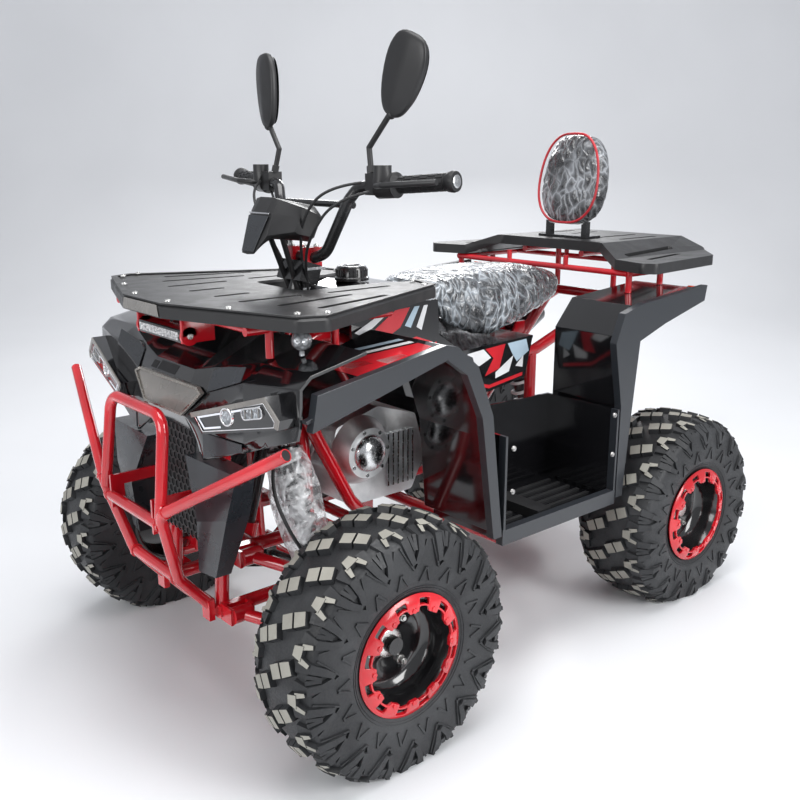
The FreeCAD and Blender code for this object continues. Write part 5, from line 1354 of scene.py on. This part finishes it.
class QUAD_OT_decals(bpy.types.Operator):
    """Angular stripes in red, white and ice on the side panels and fenders, with no letters."""

    bl_idname = "quad.decals"
    bl_label = "Stripes"

    def execute(self, context):
        on_side = beside(168)
        shapes = {
            0: [
                [(-342, 744), (-262, 781), (-246, 781), (-320, 734)],
                [(-180, 738), (-160, 781), (-149, 781), (-166, 730)],
                [(-300, 692), (-256, 698), (-250, 689), (-290, 682)],
                [(-246, 672), (-206, 676), (-200, 666), (-240, 660)],
                [(-30, 660), (20, 664), (44, 642), (8, 628), (-34, 640)],
                [(60, 606), (118, 638), (104, 602), (60, 592)],
                [(126, 612), (152, 634), (150, 606)],
            ],
            1: [
                [(-318, 728), (-236, 779), (-198, 781), (-224, 742), (-300, 706)],
                [(-250, 704), (-180, 718), (-136, 702), (-158, 684), (-214, 680)],
                [(26, 664), (90, 668), (72, 614), (26, 602), (52, 640)],
                [(-40, 602), (40, 580), (150, 594), (150, 586), (40, 572), (-40, 594)],
                [(-140, 660), (-128, 700), (-122, 700), (-130, 650)],
            ],
            2: [
                [(-212, 744), (-186, 781), (-172, 781), (-196, 738)],
                [(98, 668), (160, 671), (170, 642), (130, 622), (114, 642)],
                [(-330, 716), (-306, 698), (-304, 692), (-336, 706)],
            ],
        }
        bm = bmesh.new()
        for slot, outlines in shapes.items():
            for outline in outlines:
                panel(bm, outline, on_side, 0.1, 0.5, slot)
        edge_y, edge_z, slope = -617, 664, 0.2862

        def sloped(x, y, lift):
            return mm(x, y, edge_z + (y - edge_y) * slope + lift)

        for slot, outline in (
            (1, [(226, -468), (372, -468), (374, -326), (336, -326)]),
            (0, [(204, -468), (216, -468), (326, -326), (312, -326)]),
            (0, [(262, -452), (300, -452), (322, -420), (296, -420)]),
            (0, [(318, -410), (352, -410), (362, -372), (342, -372)]),
            (2, [(190, -440), (196, -452), (296, -326), (282, -326)]),
        ):
            panel(bm, outline, sloped, 0.1, 0.5, slot)
        add_mirrored(bm)
        place_piece("side_stripes", bm, "chassis", ["sticker white", "sticker red", "sticker blue"])
        return {"FINISHED"}


class QUAD_OT_racks(bpy.types.Operator):
    """The raised rim and screws of the front rack, and the filler cap."""

    bl_idname = "quad.racks"
    bl_label = "Racks"

    def execute(self, context):
        bm = bmesh.new()
        top = above(825)
        edge = [(0, -702), (75, -702), (353, -602), (372, -554), (198, -155), (120, -132)]
        band(bm, edge, 13, top, 0.1, 3.2, 0, closed=False)
        for x, y in ((330, -585), (352, -540), (196, -185), (132, -160), (66, -682), (205, -640)):
            fastener(bm, mm(x, y, 828), Z_DIR, 0.0065, 1)
        add_mirrored(bm)
        place_piece("front_rack_rim", bm, "chassis", ["satin black", "zinc"], bevel=0.0012)

        bm = bmesh.new()
        centre = mm(0, -217, 822)
        section = [(0, 0.0), (0, 0.037), (0.006, 0.037), (0.008, 0.034), (0.026, 0.033), (0.030, 0.030),
                   (0.030, 0.020), (0.027, 0.018), (0.027, 0.0)]
        lathe(bm, section, centre, Z_DIR, X_DIR, 60, closed=False)
        for i in range(24):
            aim = Quaternion(Z_DIR, FULL_TURN * i / 24) @ X_DIR
            foot = centre + aim * 0.0335
            rod(bm, foot + Z_DIR * 0.009, foot + Z_DIR * 0.024, 0.0014, sides=8)
        ring = [(0.0302, 0.021), (0.0318, 0.022), (0.0318, 0.028), (0.0302, 0.029)]
        painted_lathe(bm, 1, ring, centre, Z_DIR, X_DIR, 60)
        place_piece("filler_cap", bm, "chassis", ["black steel", "bright alloy"],
                    bevel=0.0005)
        return {"FINISHED"}


class QUAD_OT_footwells(bpy.types.Operator):
    """Ribs, a toothed strip and screws in the footwells."""

    bl_idname = "quad.footwells"
    bl_label = "Footwells"

    def execute(self, context):
        bm = bmesh.new()
        for k in range(6):
            x = 222 + 28 * k
            block(bm, mm(x, -132, 331), mm(x + 9, -30, 337))
            block(bm, mm(x, 32, 331), mm(x + 9, 196, 337))
        for k in range(22):
            y = -128 + 15 * k
            low = mm(384, y, 331)
            verts = block(bm, low, low + mm(9, 9, 9))
            tops = [vert for vert in verts if vert.co.z > 0.337]
            bmesh.ops.scale(bm, vec=(1, 0.3, 1), verts=tops,
                            space=Matrix.Translation(-sum((v.co for v in tops), Vector()) / len(tops)))
        add_mirrored(bm)
        place_piece("footwell_ribs", bm, "chassis", ["satin black"], bevel=0.0008)
        bm = bmesh.new()
        for y, z in ((-128, 520), (-128, 430), (196, 530), (196, 440)):
            screw_head(bm, mm(400, y, z), X_DIR, 0.006)
        add_mirrored(bm)
        place_piece("footwell_screws", bm, "chassis", ["brake steel"])
        return {"FINISHED"}


class QUAD_OT_engine(bpy.types.Operator):
    """The dome, ring, bolts and ribs on the engine's left side."""

    bl_idname = "quad.engine"
    bl_label = "Engine"

    def execute(self, context):
        bm = bmesh.new()
        centre = mm(137, -281, 478)
        ring = [(-0.020, 0.052), (-0.006, 0.052), (-0.004, 0.049), (-0.004, 0.044), (-0.020, 0.044)]
        lathe(bm, ring, centre, X_DIR, Z_DIR, 60)
        dome = [(0.0, 0.0), (0.0, 0.041), (0.004, 0.040), (0.010, 0.035), (0.015, 0.027), (0.018, 0.016),
                (0.019, 0.0)]
        lathe(bm, dome, centre, X_DIR, Z_DIR, 56, closed=False)
        for i in range(6):
            low = mm(103, -210 + 14 * i, 380)
            block(bm, low, low + mm(7, 5, 120))
        for i in range(7):
            aim = Quaternion(X_DIR, FULL_TURN * i / 7 + 0.3) @ Z_DIR
            foot = centre + aim * 0.048 - X_DIR * 0.005
            rod(bm, foot, foot + X_DIR * 0.006, 0.0055, 0.0050, 6)
        place_piece("engine_cover_bolts", bm, "chassis", ["bright alloy"], bevel=0.0004)
        return {"FINISHED"}


class QUAD_OT_steering_head(bpy.types.Operator):
    """The red bar clamps, the pod's facet, the cables of the handlebar and the brake hoses."""

    bl_idname = "quad.steering_head"
    bl_label = "Steering head"

    def execute(self, context):
        bm = bmesh.new()
        for side in (1, -1):
            middle = mm(side * 25, -339, 881)
            half = mm(11, 19, 20)
            block(bm, middle - half, middle + half)
            for y in (-351, -327):
                fastener(bm, mm(side * 25, y, 901), Z_DIR, 0.0055, 1, 0.005)
        painted(block(bm, mm(-44, -366, 856), mm(44, -318, 862)), 2)
        place_piece("bar_clamps", bm, "steering", ["red paint", "zinc", "bright alloy"],
                    bevel=0.0015)
        bm = bmesh.new()
        front = facing((-22, -441, 973), (22, -441, 973), (0, -474, 893))
        panel(bm, [(-21, 898), (21, 898), (35, 966), (-35, 966)], front, 0.6, 2.0, 0)
        panel(bm, [(-35, 969), (35, 969), (36, 972), (-36, 972)], front, 0.6, 2.2, 1)
        place_piece("pod_facet", bm, "steering", ["slate", "bright alloy"], bevel=0.0006)
        routes = {
            "clutch": [(170, -322, 1030), (120, -372, 1022), (70, -392, 960), (34, -372, 890),
                       (22, -352, 820)],
            "throttle": [(-190, -318, 1026), (-132, -378, 1014), (-76, -394, 950), (-30, -374, 880),
                         (-20, -352, 812)],
            "brake": [(204, -330, 1014), (150, -372, 1000), (92, -388, 930), (46, -372, 870),
                      (30, -350, 800)],
            "switch": [(-176, -300, 1008), (-128, -316, 960), (-60, -330, 900), (-26, -340, 830)],
        }
        for name, route in routes.items():
            cable(f"cable_{name}", [mm(*point) for point in route], 0.0028, "steering", "grip rubber")
        for name, side in SIDES.items():
            route = [(side * 150, -520, 540), (side * 196, -566, 500), (side * 236, -560, 420),
                     (side * 262, -520, 340), (side * 288, -470, 312)]
            cable(f"brake_hose_{name}", [mm(*point) for point in route], 0.0035, "chassis", "grip rubber")
        return {"FINISHED"}


class QUAD_PT_panel(bpy.types.Panel):
    """Lists the quad bike's pieces."""

    bl_label = "Quad Bike"
    bl_idname = "QUAD_PT_panel"
    bl_space_type = "VIEW_3D"
    bl_region_type = "UI"
    bl_category = "Quad Bike"

    def draw(self, context):
        layout = self.layout
        for group in (context.scene.quad_sizes, context.scene.quad_colours):
            for name in group.__annotations__:
                layout.prop(group, name)
        for operator in OPERATORS:
            layout.operator(operator.bl_idname)


OPERATORS = (
    QUAD_OT_finishes,
    QUAD_OT_stage,
    QUAD_OT_tyres,
    QUAD_OT_wheels,
    QUAD_OT_seat,
    QUAD_OT_backrest,
    QUAD_OT_shocks,
    QUAD_OT_mirrors,
    QUAD_OT_grips,
    QUAD_OT_headlamps,
    QUAD_OT_nose,
    QUAD_OT_bumper,
    QUAD_OT_decals,
    QUAD_OT_racks,
    QUAD_OT_footwells,
    QUAD_OT_engine,
    QUAD_OT_steering_head,
)
CLASSES = (QuadSizes, QuadColours, QUAD_PT_panel) + OPERATORS


def register():
    for cls in CLASSES:
        bpy.utils.register_class(cls)
    bpy.types.Scene.quad_sizes = bpy.props.PointerProperty(type=QuadSizes)
    bpy.types.Scene.quad_colours = bpy.props.PointerProperty(type=QuadColours)


def unregister():
    del bpy.types.Scene.quad_colours
    del bpy.types.Scene.quad_sizes
    for cls in reversed(CLASSES):
        bpy.utils.unregister_class(cls)


def main():
    register()
    bpy.ops.quad.finishes()
    bpy.ops.quad.stage()
    bpy.ops.quad.tyres()
    bpy.ops.quad.wheels()
    bpy.ops.quad.seat()
    bpy.ops.quad.backrest()
    bpy.ops.quad.shocks()
    bpy.ops.quad.mirrors()
    bpy.ops.quad.grips()
    bpy.ops.quad.headlamps()
    bpy.ops.quad.nose()
    bpy.ops.quad.bumper()
    bpy.ops.quad.decals()
    bpy.ops.quad.racks()
    bpy.ops.quad.footwells()
    bpy.ops.quad.engine()
    bpy.ops.quad.steering_head()


if __name__ == "__main__":
    main()
